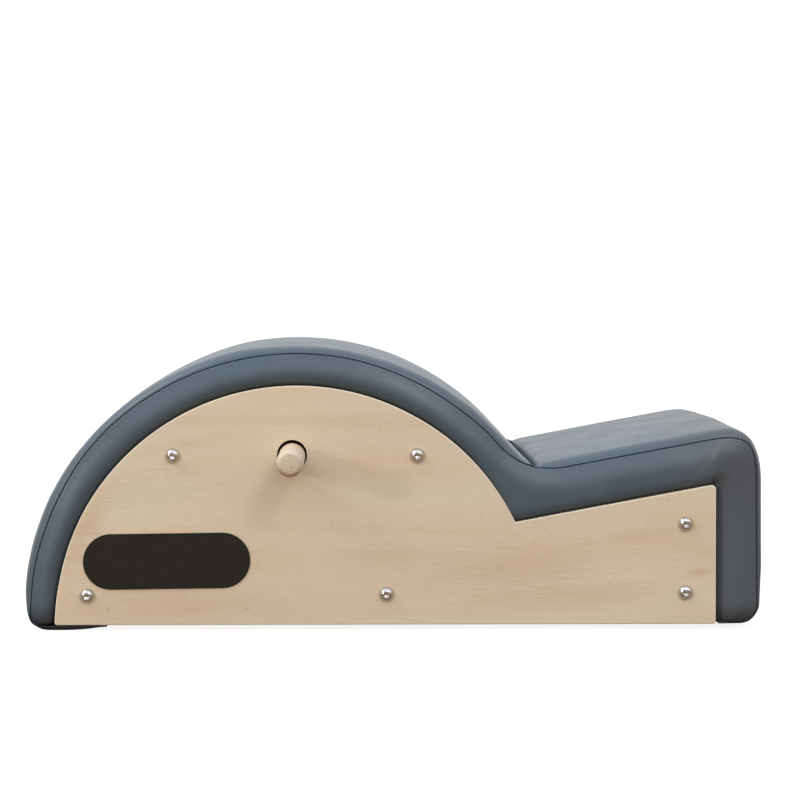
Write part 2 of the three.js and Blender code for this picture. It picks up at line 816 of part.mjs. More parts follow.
const plateZ = panelLift + plateCentreHeight;
add('name_plate', namePlate(), 'plate', plateCentreOffset, -halfWidth - fit, plateZ);

const guideY = railHalfLength - guideDepth / 2;
addPair('handle_guide', handleGuide(), 'pine', handleHoleOffset, guideY, guideBoreZ);
const tailY = halfWidth + handleProtrusion - handleLength;
addPair('handle', handle(), 'beech', handleHoleOffset, tailY, handleZ);

// The frame's origin lies on the floor, under the middle of the whole object
const bounds = new THREE.Box3().setFromObject(assembly, true);
assembly.position.x = -(bounds.min.x + bounds.max.x) / 2;

export default assembly;
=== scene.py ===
"""Looks of a padded arc with a sloping seat: leather, plywood, steel, light and camera, in metres.

Shapes are worked out in millimetres with x from the arc's centre, y across and z from the floor,
and set_mesh() moves them into the frame. Side -1 is the front, side 1 the back.
"""
import json
import math

import bmesh
import bpy
import numpy as np
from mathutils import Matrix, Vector

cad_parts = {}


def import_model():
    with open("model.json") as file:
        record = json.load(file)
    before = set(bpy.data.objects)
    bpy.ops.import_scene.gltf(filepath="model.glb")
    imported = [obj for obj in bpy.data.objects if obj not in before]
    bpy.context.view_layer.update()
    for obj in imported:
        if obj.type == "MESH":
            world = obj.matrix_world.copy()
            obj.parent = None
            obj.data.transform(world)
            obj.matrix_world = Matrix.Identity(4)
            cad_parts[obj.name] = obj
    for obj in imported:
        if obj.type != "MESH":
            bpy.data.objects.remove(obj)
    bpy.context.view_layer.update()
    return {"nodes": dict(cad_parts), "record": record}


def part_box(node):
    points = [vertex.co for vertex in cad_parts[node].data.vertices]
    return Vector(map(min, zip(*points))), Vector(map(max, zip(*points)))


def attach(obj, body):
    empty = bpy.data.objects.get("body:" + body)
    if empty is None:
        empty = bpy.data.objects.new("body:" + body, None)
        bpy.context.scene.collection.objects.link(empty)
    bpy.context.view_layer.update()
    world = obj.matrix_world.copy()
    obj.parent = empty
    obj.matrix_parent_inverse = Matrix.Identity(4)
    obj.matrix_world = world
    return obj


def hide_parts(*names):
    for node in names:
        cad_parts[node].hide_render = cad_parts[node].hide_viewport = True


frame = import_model()
nodes = frame["nodes"]


def measured(node):
    """A solid's size along X, Y and Z, to a tenth of a millimetre."""
    low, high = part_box(node)
    return [round(1000 * side, 1) for side in high - low]


# The plywood sides as the solids have them, x from the arc's centre
panel_low, panel_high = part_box("side_panel_front")
PANEL_END = 525.0
ARC_X = panel_high.x * 1000 - PANEL_END
ARC_RADIUS = 304.5
ARC_Z = 3.0
END_TOP = 183.8
SEAT_SLOPE = math.radians(10.6)
PANEL_THICKNESS = measured("side_panel_front")[1]
PANEL_FACE = round(-1000 * panel_low.y, 1)
PANEL_BOTTOM = round(1000 * panel_low.z, 1)

# The board that shows, drawn after the photograph a little inside the solid
PANEL_EDGE_ROUND = 1.5
PANEL_CORNER = 5.5
PANEL_FOOT_CORNER = 3.2
SEAT_EDGE_DROP = 1.5
BOARD_END = PANEL_END + 0.8
BOARD_TOE_ANGLE = 178.4
BOARD_STATIONS = 260
HANDLE_HOLE = 37.5
HANDLE_DROP = 1.95
BOLT_HOLE = 11.0

# The bare plate
PLATE_LENGTH, PLATE_THICKNESS, plate_solid_height = measured("name_plate")
PLATE_HEIGHT = plate_solid_height - 0.8
PLATE_TILT = math.radians(0.72)
PLATE_EDGE_ROUND = 0.45

# The leather, and how far its lowest edge stays from the floor
LEATHER = 1.5
TUCK_PLANE = PANEL_FACE - PANEL_THICKNESS - 0.3
FLOOR_GAP = 0.3

SIDES = ((-1, "front"), (1, "back"))
FRONT_BOLTS = [name for name in nodes if name.startswith("bolt_") and name.endswith("_front")]


def centre_of(node):
    """A solid's middle in the XZ plane, x from the arc's centre."""
    low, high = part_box(node)
    middle = (low + high) * 500
    return middle.x - ARC_X, middle.z


# Curves in the XZ plane, as rows of points
LEAST_SPREAD = 0.4


def unit(vector):
    return vector / np.linalg.norm(vector)


def length_along(points):
    return np.r_[0, np.cumsum(np.hypot(*np.diff(points, axis=0).T))]


def at(points, run, places):
    """Points at some lengths along a line."""
    return np.c_[np.interp(places, run, points[:, 0]), np.interp(places, run, points[:, 1])]


def spaced(points, step=1.0):
    """The same line with its points a step apart."""
    points = np.asarray(points, float)
    run = length_along(points)
    return at(points, run, np.linspace(0, run[-1], max(int(run[-1] / step), 2) + 1))


def circle(centre, radius, angles):
    """Points on a circle at some angles in degrees."""
    angles = np.radians(angles)
    return np.c_[centre[0] + radius * np.cos(angles), centre[1] + radius * np.sin(angles)]


def arc(centre, radius, start, end, step=1.0):
    """Points on a circle between two angles in degrees, about a step apart."""
    count = max(int(abs(math.radians(end - start)) * radius / step), 12)
    return circle(centre, radius, np.linspace(start, end, count + 1))


def filleted(before, corner, after, radius, steps=14):
    """An arc that rounds the corner between the directions to two points."""
    corner = np.array(corner, float)
    a = unit(before - corner)
    b = unit(after - corner)
    half = math.acos(np.clip(a @ b, -1, 1)) / 2
    centre = corner + unit(a + b) * radius / math.sin(half)
    start = corner + a * radius / math.tan(half) - centre
    end = corner + b * radius / math.tan(half) - centre
    turn = math.atan2(start[0] * end[1] - start[1] * end[0], start @ end)
    angles = math.atan2(start[1], start[0]) + np.linspace(0, turn, steps + 1)
    return circle(centre, radius, np.degrees(angles))


def nearest(points, place):
    """The number of the point nearest to a place."""
    return int(np.argmin(np.hypot(*(points - place).T)))


def softened(points, corners):
    """A line drawn smooth round some corners: (point, spread, reach) each."""
    run = length_along(points)
    spread = np.full(len(points), LEAST_SPREAD)
    for place, width, reach in corners:
        away = run - run[nearest(points, place)]
        spread = np.maximum(spread, width * np.exp(-((away / reach) ** 4)))
    weights = np.exp(-0.5 * ((run[:, None] - run[None, :]) / spread[:, None]) ** 2)
    return (weights @ points) / weights.sum(1)[:, None]


def outward(points):
    """Unit normals to the left of a line that runs from the toe over the top."""
    along = np.gradient(points, axis=0)
    along /= np.linalg.norm(along, axis=1)[:, None]
    return np.c_[-along[:, 1], along[:, 0]]


def smooth(share):
    share = np.clip(share, 0, 1)
    return share * share * (3 - 2 * share)


def blend(first, second, share):
    return first + (second - first) * share


# The seat's slope, and the notch, where the seat's line meets the arc
def directions(slope):
    """Unit vectors along a slope and square to it."""
    along = np.array([math.cos(slope), math.sin(slope)])
    return along, np.array([-along[1], along[0]])


ALONG, OUT = directions(SEAT_SLOPE)


def meet_arc(point, radius):
    """Where the seat's slope through a point meets a circle about the arc's centre."""
    start = np.subtract(point, (0, ARC_Z))
    reach = start @ ALONG
    step = math.sqrt(reach * reach - start @ start + radius * radius)
    return point + ALONG * (step - reach)


NOTCH = meet_arc((PANEL_END, END_TOP), ARC_RADIUS)

# Height of the seam over the plywood's arc, by angle in degrees from the seat's side
SEAM_ANGLES = [20, 46, 54, 62, 70, 80, 100, 125, 134, 142, 150, 158, 165, 169, 172, 176, 182]
SEAM_HEIGHTS = [
    37.2, 37.4, 36.6, 37.1, 37.9, 38.8, 38.7, 38.3, 38.6,
    37.7, 34.7, 32.9, 31.7, 30.8, 29.6, 29.1, 28.7,
]
# Height of the arc's crest over its seam, by angle
RISE_ANGLES = [40, 45, 51, 60, 70, 80, 89, 95, 102, 110, 120, 140, 146, 152, 161, 170, 174]
RISE_HEIGHTS = [
    9.4, 9.3, 11.3, 10.8, 10.1, 9.2, 9.0, 10.0, 11.3,
    10.8, 10, 10, 11, 12.1, 12.1, 10.8, 9.6,
]
# How far the plywood's visible edge lies inside its arc's radius, by angle
TRIM_ANGLES = [36, 48, 62, 150, 158, 168, 180]
TRIMS = [0.1, 0.2, 1.2, 1.3, 1.9, 2.7, 2.5]
# The seam and the crest over the seat's line, and the seam past the end
SEAT_SEAM = 54.3
SEAT_CREST = 65.0
END_SEAM = 51.5
# How far the seat's crest stands off its seam, by the way along the seam past the end's corner
CORNER_WAYS = [-90, -45, -20, -5, 8, 22, 46, 75, 110]
CORNER_RISES = [10.8, 10.9, 11.2, 8.3, 6.6, 7.7, 9.4, 9.1, 8.8]
CORNER_DROP = 1.8
CORNER_RUN = 50
# The seam at the toe, and where the leather turned under the toe ends
TOE_SEAM = 6.2
TOE_SEAM_X = -333.2
TOE_SEAM_ROUND = 13
FLAP_END = -236
FLAP_SEAM = 6.3
# The seam and the crest at the heel
HEEL_SEAM = 8.6
HEEL_SEAM_TOP = 75
HEEL_SEAM_LEANS = (-0.3, 2.6)
HEEL_SEAM_ROUND = 21
HEEL_HEM = 527
HEEL_START = 76.0
HEEL_CREST = (583.2, 7.4)
HEEL_ROUND = 26.0
# Angles between which the seam and the crest follow the arc, and their step
ARC_SEAM_ANGLES = (172.5, 33.9)
ARC_CREST_ANGLES = (173.5, 43.1)
FINE_STEP = 0.2
# Planes across the part, from its middle, and the top panel's rise to its middle
SEAM_PLANE = 205.1
FLAP_PLANE = 207.5
CROWN = 2.7


def seam_radius(angle):
    return ARC_RADIUS + np.interp(angle, SEAM_ANGLES, SEAM_HEIGHTS)


def crest_radius(angle):
    return seam_radius(angle) + np.interp(angle, RISE_ANGLES, RISE_HEIGHTS)


def polar(angles, radius):
    return circle((0, ARC_Z), radius, angles)


def seat_line(offset):
    """The seat's line at a height over the plywood, as a function of x."""
    at_notch = NOTCH[1] + offset / math.cos(SEAT_SLOPE)
    return lambda x: at_notch + (x - NOTCH[0]) * math.tan(SEAT_SLOPE)


# Corners of the seam drawn smooth, and its last smoothing all along: (point, spread, reach) each
CREASE_DIP = ((285, 195.6), 34, 62)
END_SPREAD = (28, 62)
SEAM_EVENED = ((0, 340), 2.2, 4000)


def seam_line():
    """The seam, from under the toe over the arc and the seat to under the heel."""
    toe_corner = (TOE_SEAM_X, TOE_SEAM)
    toe = filleted((FLAP_END, TOE_SEAM), toe_corner, (TOE_SEAM_X, END_TOP), TOE_SEAM_ROUND)
    angles = np.arange(*ARC_SEAM_ANGLES, -FINE_STEP)
    over = polar(angles, seam_radius(angles))
    line = seat_line(SEAT_SEAM)
    end_x = PANEL_END + END_SEAM
    top_x, low_x = (end_x + lean for lean in HEEL_SEAM_LEANS)
    corner = [end_x, line(end_x) - CORNER_DROP]
    seat = [[x, line(x)] for x in np.arange(over[-1][0] + 0.5, end_x - CORNER_RUN, 1)]
    hem = (HEEL_HEM, HEEL_SEAM)
    heel = filleted((top_x, HEEL_SEAM_TOP), (low_x, HEEL_SEAM), hem, HEEL_SEAM_ROUND)
    points = np.vstack([[(FLAP_END, FLAP_SEAM)], toe, over, seat, [corner], heel, [hem]])
    drawn = softened(spaced(points), [CREASE_DIP, (corner, *END_SPREAD)])
    return softened(spaced(drawn), [SEAM_EVENED])


# The crest's line: its rise from the flap's end, the toe's round, and its last points under the lip
FLAP_RISE = [[FLAP_END, 5.9], [-246, 3.9], [-258, 2.1], [-272, 0.9], [-285, FLOOR_GAP]]
TOE_CREST = (-334.3, FLOOR_GAP)
TOE_SIDE = (-342.2, 55)
TOE_ROUND = 28.4
LIP = [[287.1, 210.4], [298, 205.6]]
CREST_CORNERS = [(FLAP_RISE[-1], 5, 30), ((-342, 45), 6, 40), ((283, 213), 5, 60)]
CREST_EVENED = ((0, 350), 3, 290)


def arc_crest_line():
    """The crest of the arc's top panel, from the flap's end to the crease."""
    toe = filleted(FLAP_RISE[-1], TOE_CREST, TOE_SIDE, TOE_ROUND)
    angles = np.arange(*ARC_CREST_ANGLES, -FINE_STEP)
    over = polar(angles, crest_radius(angles))
    points = np.vstack([FLAP_RISE, toe, over, LIP])
    return softened(softened(spaced(points), CREST_CORNERS), [CREST_EVENED])


# Places on the heel's seam and on its crest that belong together
HEEL_PAIRS = [
    ((573.8, 14.5), (578.1, 14.0)),
    ((555, HEEL_SEAM), (558, HEEL_CREST[1])),
    ((535, HEEL_SEAM), (535, HEEL_CREST[1])),
]


def round_heel(run, crest):
    """The crest's points beside the seam's, those under HEEL_START moved to the heel's own round."""
    first = np.argmax((run[:, 0] > HEEL_HEM) & (run[:, 1] < HEEL_START))
    start, low = crest[first - 1], run[first - 1 :]
    hem = (HEEL_HEM, HEEL_CREST[1])
    turn = filleted(start, HEEL_CREST, hem, HEEL_ROUND)
    path = spaced(np.vstack([[start], turn, [hem]]), 0.5)
    seam_run, path_run = length_along(low), length_along(path)
    by_seam = [0, *[seam_run[nearest(low, place)] for place, _ in HEEL_PAIRS], seam_run[-1]]
    by_path = [0, *[path_run[nearest(path, place)] for _, place in HEEL_PAIRS], path_run[-1]]
    return np.vstack([crest[:first], at(path, path_run, np.interp(seam_run[1:], by_seam, by_path))])


# The seat's top panel starts under the arc's lip: its crest and its seam there, and where the
# seam's own line takes over
SEAT_CREST_START = [[300.9, 196], [301.0, 200.5], [302.6, 204.6], [305.6, 207.6], [309, 209.2]]
SEAT_SEAM_START = [[299.6, 202.5], [300.2, 203.2], [302.2, 203.2], [305.2, 202.9], [308.8, 202.6]]
SEAT_START = (312, 202.6)
SEAT_LINE_END = 420
SEAT_CREST_EVENED = ((550, 240), 2.5, 120)


def seat_lines():
    """The seam and the crest of the seat's top panel, from under the arc's lip to under the heel."""
    run = seam[nearest(seam, SEAT_START) :]
    past = length_along(run)
    past -= past[np.argmax(run @ [1, 1])]
    crest = run + outward(run) * np.interp(past, CORNER_WAYS, CORNER_RISES)[:, None]
    crest = round_heel(run, softened(crest, [SEAT_CREST_EVENED]))
    line = seat_line(SEAT_CREST)
    crest[:, 1] = np.where(crest[:, 0] < SEAT_LINE_END, line(crest[:, 0]), crest[:, 1])
    return np.vstack([SEAT_SEAM_START, run[2::4]]), np.vstack([SEAT_CREST_START, crest[2::4]])


def paired(line, keys, other, other_keys, count):
    """Points of two lines side by side, from places on each that belong together."""
    first, second = length_along(line), length_along(other)
    by_first = [first[nearest(line, key)] for key in keys]
    by_second = [second[nearest(other, key)] for key in other_keys]
    places = np.linspace(by_first[0], by_first[-1], count)
    beside = at(other, second, np.interp(places, by_first, by_second))
    return at(line, first, places), beside, places - by_first[0]


# Waves that are the same on every run, for leather that isn't quite even
random = np.random.default_rng(11)
WAVE_COUNT = 9
WAVE_RUN = 1.9
WAVE_SUM = 3.2


def random_wave():
    """A direction, a phase and a share."""
    direction = random.uniform(0.6, 1.6, 3) * random.choice([-1, 1], 3)
    phase = random.uniform(0, 6.28)
    return direction, phase, random.uniform(0.5, 1)


WAVES = [random_wave() for _ in range(WAVE_COUNT)]


def unevenness(points, length):
    """Soft hills between about -1 and 1, about a length apart."""
    total = np.zeros(points.shape[:-1])
    for direction, phase, share in WAVES:
        total += share * np.sin(points @ direction * 2 * math.pi / length / WAVE_RUN + phase)
    return total / WAVE_SUM


# Meshes
def placed(name, data):
    """A new object in the scene."""
    made = bpy.data.objects.new(name, data)
    bpy.context.scene.collection.objects.link(made)
    return made


def set_mesh(name, points, faces, finish, sharp=50):
    """An object from points in millimetres, its edges sharp over some degrees (0 for none)."""
    moved = (np.asarray(points, float).reshape(-1, 3) + [ARC_X, 0, 0]) / 1000
    mesh = bpy.data.meshes.new(name)
    mesh.from_pydata(moved.tolist(), [], [list(map(int, face)) for face in faces])
    mesh.validate()
    mesh.update()
    mesh.polygons.foreach_set("use_smooth", [True] * len(mesh.polygons))
    if sharp:
        mesh.set_sharp_from_angle(angle=math.radians(sharp))
    mesh.materials.append(FINISHES[finish])
    return placed(name, mesh)


def grid_normals(grid):
    normals = np.cross(np.gradient(grid, axis=0), np.gradient(grid, axis=1))
    return normals / np.maximum(np.linalg.norm(normals, axis=2, keepdims=True), 1e-9)


def skin(grid, thickness, flip=False):
    """A closed skin of a thickness under a grid of points: (points, faces)."""
    rows, columns = grid.shape[:2]
    normals = grid_normals(grid)
    if flip:
        normals = -normals
    under = grid - normals * thickness
    points = np.vstack([grid.reshape(-1, 3), under.reshape(-1, 3)])
    number = np.arange(rows * columns).reshape(rows, columns)
    a, b, c, d = number[:-1, :-1], number[1:, :-1], number[1:, 1:], number[:-1, 1:]
    top = np.stack([a, b, c, d], -1).reshape(-1, 4)
    low = top[:, ::-1] + rows * columns
    ring = np.r_[number[:, 0], number[-1, 1:], number[-2::-1, -1], number[0, -2:0:-1]]
    after = np.roll(ring, -1)
    walls = np.stack([after, ring, ring + rows * columns, after + rows * columns], -1)
    faces = np.vstack([top, low, walls])
    return points, (faces[:, ::-1] if flip else faces)


# Leather: the side strips swell out from the seam, over a ridge and a knee, and turn in behind the
# plywood's edge, with a tuck and a groove, to a foot FOOT_INSET inside it
SEAM_FACE = SEAM_PLANE + 0.5
STRIP_SLOPE = 0.26
RIDGE_SHARE = 0.4
RIDGE_PLACE = 10.0
RIDGE_WIDTH = 4.5
END_STRIP_SLOPE = 0.14
ARC_KNEE = 16.0
SEAT_KNEE = 19.0
KNEE_WIDTH = 12.0
TUCK_REACH = 14.0
END_TUCK_REACH = 30.0
TUCK_DEPTH = 7.0
END_TUCK_DEPTH = 15.0
TUCK_POWER = 2.2
GROOVE_REACH = 3.0
GROOVE_DEPTH = 4.0
GROOVE_POWER = 1.5
FOOT_INSET = 5.0
FOOT_TOE = 8.0
FOOT_LOW = 9.2
FOOT_ANGLES = (178.9, 20)
# Rows of points across a strip: shares of the way to the seam, then (distance, depth) beside it
STRIP_SHARES = [0, 0.03, 0.07, 0.095, 0.12, 0.15, 0.2, 0.26, 0.33, 0.41, 0.5, 0.6, 0.7, 0.8, 0.88]
SEAM_ROWS = [(3.0, 0), (1.8, 0.04), (0.95, 0.22), (0.4, 0.7), (0.16, 1.5), (0.14, 3.5)]
# Where a strip changes from the arc's form to the seat's and from there to the end's
SEAT_FROM, SEAT_BLEND = 240, 90
END_FROM, END_BLEND, END_LEAN = 392, 95, 0.5


def strip_plane(from_seam, from_foot, beside):
    """How far out a strip stands, by the distances from its edges and the seam's point beside it."""
    seat = smooth((beside[:, 0] - SEAT_FROM) / SEAT_BLEND)
    past_end = beside[:, 0] - END_LEAN * beside[:, 1] - END_FROM
    end = smooth(past_end / END_BLEND)
    knee = (from_seam - blend(ARC_KNEE, SEAT_KNEE, seat)) / KNEE_WIDTH
    inner = np.clip(knee, 0, 1)
    bent = np.maximum(knee, 0) - inner + inner**3 - inner**4 / 2
    slope = blend(STRIP_SLOPE, END_STRIP_SLOPE, end)
    ridge = np.tanh((from_seam - RIDGE_PLACE) / RIDGE_WIDTH) + math.tanh(RIDGE_PLACE / RIDGE_WIDTH)
    swell = slope * (from_seam - KNEE_WIDTH * bent)
    swell = swell + slope * (1 - end) * RIDGE_SHARE * RIDGE_WIDTH * ridge
    reach = blend(TUCK_REACH, END_TUCK_REACH, end)
    depth = blend(TUCK_DEPTH, END_TUCK_DEPTH, end)
    turn = np.clip(reach + FOOT_INSET - from_foot, 0, None) / reach
    groove = np.clip(GROOVE_REACH + FOOT_INSET - from_foot, 0, GROOVE_REACH) / GROOVE_REACH
    sunk = depth * turn**TUCK_POWER + GROOVE_DEPTH * groove**GROOVE_POWER
    return np.maximum(SEAM_FACE + swell - sunk, TUCK_PLANE)


def strip_rows(foot, seam):
    """One side strip's points between the plywood's edge and the seam, before the side is chosen."""
    reach = seam - foot
    size = np.linalg.norm(reach, axis=1)
    way = reach / size[:, None]
    rows = []
    for share in STRIP_SHARES:
        place = foot + reach * share
        plane = strip_plane(size * (1 - share), size * share, seam)
        rows.append(np.c_[place[:, 0], plane, place[:, 1]])
    for back, sunk in SEAM_ROWS:
        place = seam - way * back
        rows.append(np.c_[place[:, 0], strip_plane(back, size - back, seam) - sunk, place[:, 1]])
    return np.stack(rows, 1)


def panel_foot_line():
    """The plywood's edge a little inside, where the strip comes out: toe, arc, notch, seat, end."""
    radius = ARC_RADIUS - FOOT_INSET
    end_x = PANEL_END - FOOT_INSET
    line = seat_line(-FOOT_INSET)
    over = polar(np.arange(*FOOT_ANGLES, -FINE_STEP), radius)
    over = over[over[:, 1] > line(over[:, 0])]
    start = meet_arc((PANEL_END, line(PANEL_END)), radius)
    seat = [[x, line(x)] for x in np.arange(start[0] + 0.5, end_x, 1)]
    corner = (end_x, line(end_x))
    points = np.vstack([[(-radius, FOOT_TOE)], over, seat, [corner, (end_x, FOOT_LOW)]])
    return softened(spaced(points), [(start, 5, 16), (corner, 3, 10)])


seam = seam_line()
foot_line = panel_foot_line()


def on_seam(angle):
    return polar([angle], seam_radius(angle))[0]


def on_crest(angle):
    return polar([angle], crest_radius(angle))[0]


def on_foot(angle):
    return polar([angle], ARC_RADIUS - FOOT_INSET)[0]


def across_seat(x):
    """The seam's and the foot's place across the seat's line from each other."""
    foot = np.array([x, seat_line(-FOOT_INSET)(x)])
    return foot + OUT * (SEAT_SEAM + FOOT_INSET), foot


# Places on the seam and on the strip's foot that belong together, from the toe to the heel
TURNS = [150, 120, 90, 70, 52]
STRIP_KEYS = [
    ([-313, 6.2], [-299.5, 8.0]),
    ([-331.5, 14], [-299.5, 12]),
    ([-333.3, 30], [-299, 26]),
    *[(on_seam(angle), on_foot(angle)) for angle in [172, 165, *TURNS]],
    ([285, 209], [276.5, 124]),
    ([306, 202.9], [283, 134.8]),
    *[across_seat(x) for x in (345, 400, 450, 500)],
    ([541, 240.6], [515, 177]),
    ([571.5, 224], [519.6, 175.5]),
    ([576.4, 190], [520, 165]),
    ([576.6, 150], [520, 146]),
    ([576.6, 70], [520, 66]),
    ([578.9, 34], [520, 32]),
    ([573.8, 14.5], [520, 13]),
    ([548, 8.6], [520, 9.2]),
]


STRIP_STATIONS = 420
# Hills in a strip: (length, height, shift) each
STRIP_HILLS = [(95, 0.55, 0), (38, 0.16, 300)]
# Small puckers beside the seam, and how unevenly they follow each other
PUCKER_PITCH = 14.5
PUCKER_HEIGHT = 0.18
PUCKER_REACH = 0.16
PUCKER_DRIFT = 160
# How the strip's two ends turn in: (along Y, along Z) each
HEM_TURNS = [(-2.2, 2.0), (-0.5, 0.5)]


def leather_strip(name, side):
    """One side strip, from under the toe to under the heel."""
    keys, other = zip(*STRIP_KEYS)
    seam_points, foot_points, run = paired(seam, keys, foot_line, other, STRIP_STATIONS)
    grid = strip_rows(foot_points, seam_points)
    share = np.linspace(0, 1, grid.shape[1])[None, :]
    middle = grid * [1, 0.4, 1]
    hills = sum(unevenness(middle + shift, size) * height for size, height, shift in STRIP_HILLS)
    grid[:, :, 1] += hills * np.sin(math.pi * share)
    near_seam = np.exp(-((1 - share) / PUCKER_REACH) ** 2) * (share < 0.93)
    drift = 3 * unevenness(middle[:, :1], PUCKER_DRIFT)
    puckers = np.sin(run[:, None] * 2 * math.pi / PUCKER_PITCH + drift)
    grid[:, :, 1] += PUCKER_HEIGHT * puckers * near_seam
    toe = [grid[:1] + [0, *turn] for turn in HEM_TURNS]
    heel = [grid[-1:] + [0, *turn] for turn in HEM_TURNS[::-1]]
    grid = np.concatenate([*toe, grid, *heel])
    grid[:, :, 1] *= side
    points, faces = skin(grid, LEATHER, flip=side > 0)
    return set_mesh(name, points, faces, "leather")


# How far in from the seam a top panel reaches its crest, and the same on the flap under the toe
SHOULDER = 19.0
FLAP_SHOULDER = 3.0
# A top panel's rows beside the seam, (up, inward) each, and its rows round the shoulder and on top
GROOVE_ROWS = [(0.14, 3.2), (0.16, 1.4), (0.4, 0.6), (0.9, 0.1)]
SHOULDER_TURNS = np.linspace(0.16, 1, 11)
CROWN_SHARES = np.linspace(0, 1, 22)[1:]
TOP_HILL_HEIGHT = 0.45
TOP_HILL_LENGTH = 120


def top_half(seam_points, crest_points, plane, shoulder, crown):
    """Half of a top panel, from the groove to the middle line."""
    count = len(seam_points)
    way = crest_points - seam_points
    size = np.maximum(np.linalg.norm(way, axis=1), 0.5)[:, None]
    way = way / size
    columns = []
    plane = np.broadcast_to(plane, count)
    for up, inward in GROOVE_ROWS:
        place = seam_points + way * np.minimum(up, size * 0.3)
        columns.append(np.c_[place[:, 0], plane - inward, place[:, 1]])
    for turn in SHOULDER_TURNS:
        angle = turn * math.pi / 2
        place = seam_points + (crest_points - seam_points) * math.sin(angle)
        columns.append(np.c_[place[:, 0], plane - shoulder * (1 - math.cos(angle)), place[:, 1]])
    inner = plane - shoulder
    for share in CROWN_SHARES:
        rise = crown * (1 - (1 - share) ** 2)
        place = crest_points + way * np.reshape(rise, (-1, 1))
        columns.append(np.c_[place[:, 0], inner * (1 - share), place[:, 1]])
    return np.stack(columns, 1)


def whole_panel(half):
    """Both halves of a top panel, from the front groove to the back one."""
    front = half * [1, -1, 1]
    return np.concatenate([front, half[:, ::-1][:, 1:]], 1)


def uneven(grid):
    """Moves a top panel's points along its normals, except by the seams and at the floor."""
    normals = grid_normals(grid)
    normals *= np.sign(normals[:, :, 2:3].mean())
    share = np.linspace(0, 1, grid.shape[1])[None, :]
    calm = np.clip(np.minimum(share, 1 - share) * 9 - 0.5, 0, 1) * smooth((grid[:, :, 2] - 6) / 40)
    hills = unevenness(grid, TOP_HILL_LENGTH) * TOP_HILL_HEIGHT
    return grid + normals * (hills * calm)[:, :, None]


# Places on the arc's crest and on its seam that belong together, from the flap's end to the lip
ARC_STATIONS = 330
ARC_PAIRS = [
    (FLAP_RISE[0], (FLAP_END, FLAP_SEAM)),
    ((-300, FLOOR_GAP), (-300, TOE_SEAM)),
    ((-336.5, 14), (-330.5, 13)),
    *[(on_crest(angle), on_seam(angle)) for angle in (170, *TURNS, 45)],
    (LIP[-1], (297.6, 204.2)),
]
LIP_ROUND = 2.4
LIP_DEPTH = 9
# The heights over which the panel changes from the toe's form to the arc's, and what is under the toe
TOE_FROM, TOE_BLEND = 10, 34
UNDER_X, UNDER_Z = -330, 30


def arc_top():
    """The arc's top panel: from the flap round the toe and over the arc, rolled in at the crease."""
    keys, other = zip(*ARC_PAIRS)
    crest_points, seam_points, _ = paired(arc_crest_line(), keys, seam, other, ARC_STATIONS)
    toe = smooth((seam_points[:, 1] - TOE_FROM) / TOE_BLEND)
    low = crest_points[:, 1] < UNDER_Z
    under = low & (crest_points[:, 0] > UNDER_X)
    plane = np.where(under, FLAP_PLANE, blend(FLAP_PLANE, SEAM_PLANE, toe))
    shoulder = np.where(under, FLAP_SHOULDER, blend(FLAP_SHOULDER, SHOULDER, toe))
    crown = np.where(low, 0, CROWN) * toe
    grid = uneven(whole_panel(top_half(seam_points, crest_points, plane, shoulder, crown)))
    return np.concatenate([grid, rolled_in(grid[-1], grid[-1] - grid[-3])])


def rolled_in(last, direction):
    """More rows that turn a panel's end down into the crease."""
    direction = direction / np.linalg.norm(direction, axis=1)[:, None]
    down = np.array([0.0, 0.0, -1.0])
    rows = []
    for turn in np.radians([22, 45, 68, 90]):
        ahead = direction * LIP_ROUND * math.sin(turn)
        rows.append(last + ahead + down * LIP_ROUND * (1 - math.cos(turn)))
    rows += [rows[-1] + down * LIP_DEPTH * share for share in (0.35, 1.0)]
    return np.stack(rows)


def seat_top():
    """The seat's top panel: from under the arc's lip, up the seat, round the end and under the heel."""
    edge, crest = seat_lines()
    crown = CROWN * smooth((length_along(crest) + 4) / 30) * smooth((crest[:, 1] - 8) / 40)
    return uneven(whole_panel(top_half(edge, crest, SEAM_PLANE, SHOULDER, crown)))


def band(low, high):
    """The faces between two rings of point numbers. A tip is a ring of one number repeated."""
    faces = zip(low, low[1:] + low[:1], high[1:] + high[:1], high)
    faces = [list(dict.fromkeys(face)) for face in faces]
    return [face for face in faces if len(face) > 2]


# One stitch: rings of points, (place along it, size) each as shares
STITCH_RINGS = [(-0.5, 0.45), (-0.42, 0.85), (-0.2, 1.0), (0.2, 1.0), (0.42, 0.85), (0.5, 0.45)]
STITCH_PITCH = 4.5
STITCH_LENGTH = 2.9
THREAD_RADIUS = 0.56
THREAD_PLANE = SEAM_PLANE + 0.2
THREAD_SIDES = 6
THREAD_MARGIN = 6
THREAD_TOE_Z = 10


def stitches(name, side):
    """The thread in one seam: short stitches along the groove, but for the toe's underside."""
    run = length_along(seam)
    start = run[np.argmax(seam[:, 1] > THREAD_TOE_Z)]
    points, faces = [], []
    for place in np.arange(start + THREAD_MARGIN, run[-1] - THREAD_MARGIN, STITCH_PITCH):
        middle = at(seam, run, [place])[0]
        way = unit(at(seam, run, [place + 0.5])[0] - at(seam, run, [place - 0.5])[0])
        out = np.array([-way[1], way[0]])
        first = len(points)
        for along, size in STITCH_RINGS:
            for k in range(THREAD_SIDES):
                angle = 2 * math.pi * k / THREAD_SIDES
                reach = THREAD_RADIUS * size
                x, z = middle + way * along * STITCH_LENGTH + out * math.cos(angle) * reach
                points.append([x, side * (THREAD_PLANE + math.sin(angle) * reach), z])
        rings = np.arange(first, len(points)).reshape(-1, THREAD_SIDES).tolist()
        drawn = [rings[0][::-1], rings[-1]]
        for low, high in zip(rings, rings[1:]):
            drawn += band(low, high)
        faces += [face if side < 0 else face[::-1] for face in drawn]
    return set_mesh(name, points, faces, "thread", sharp=0)


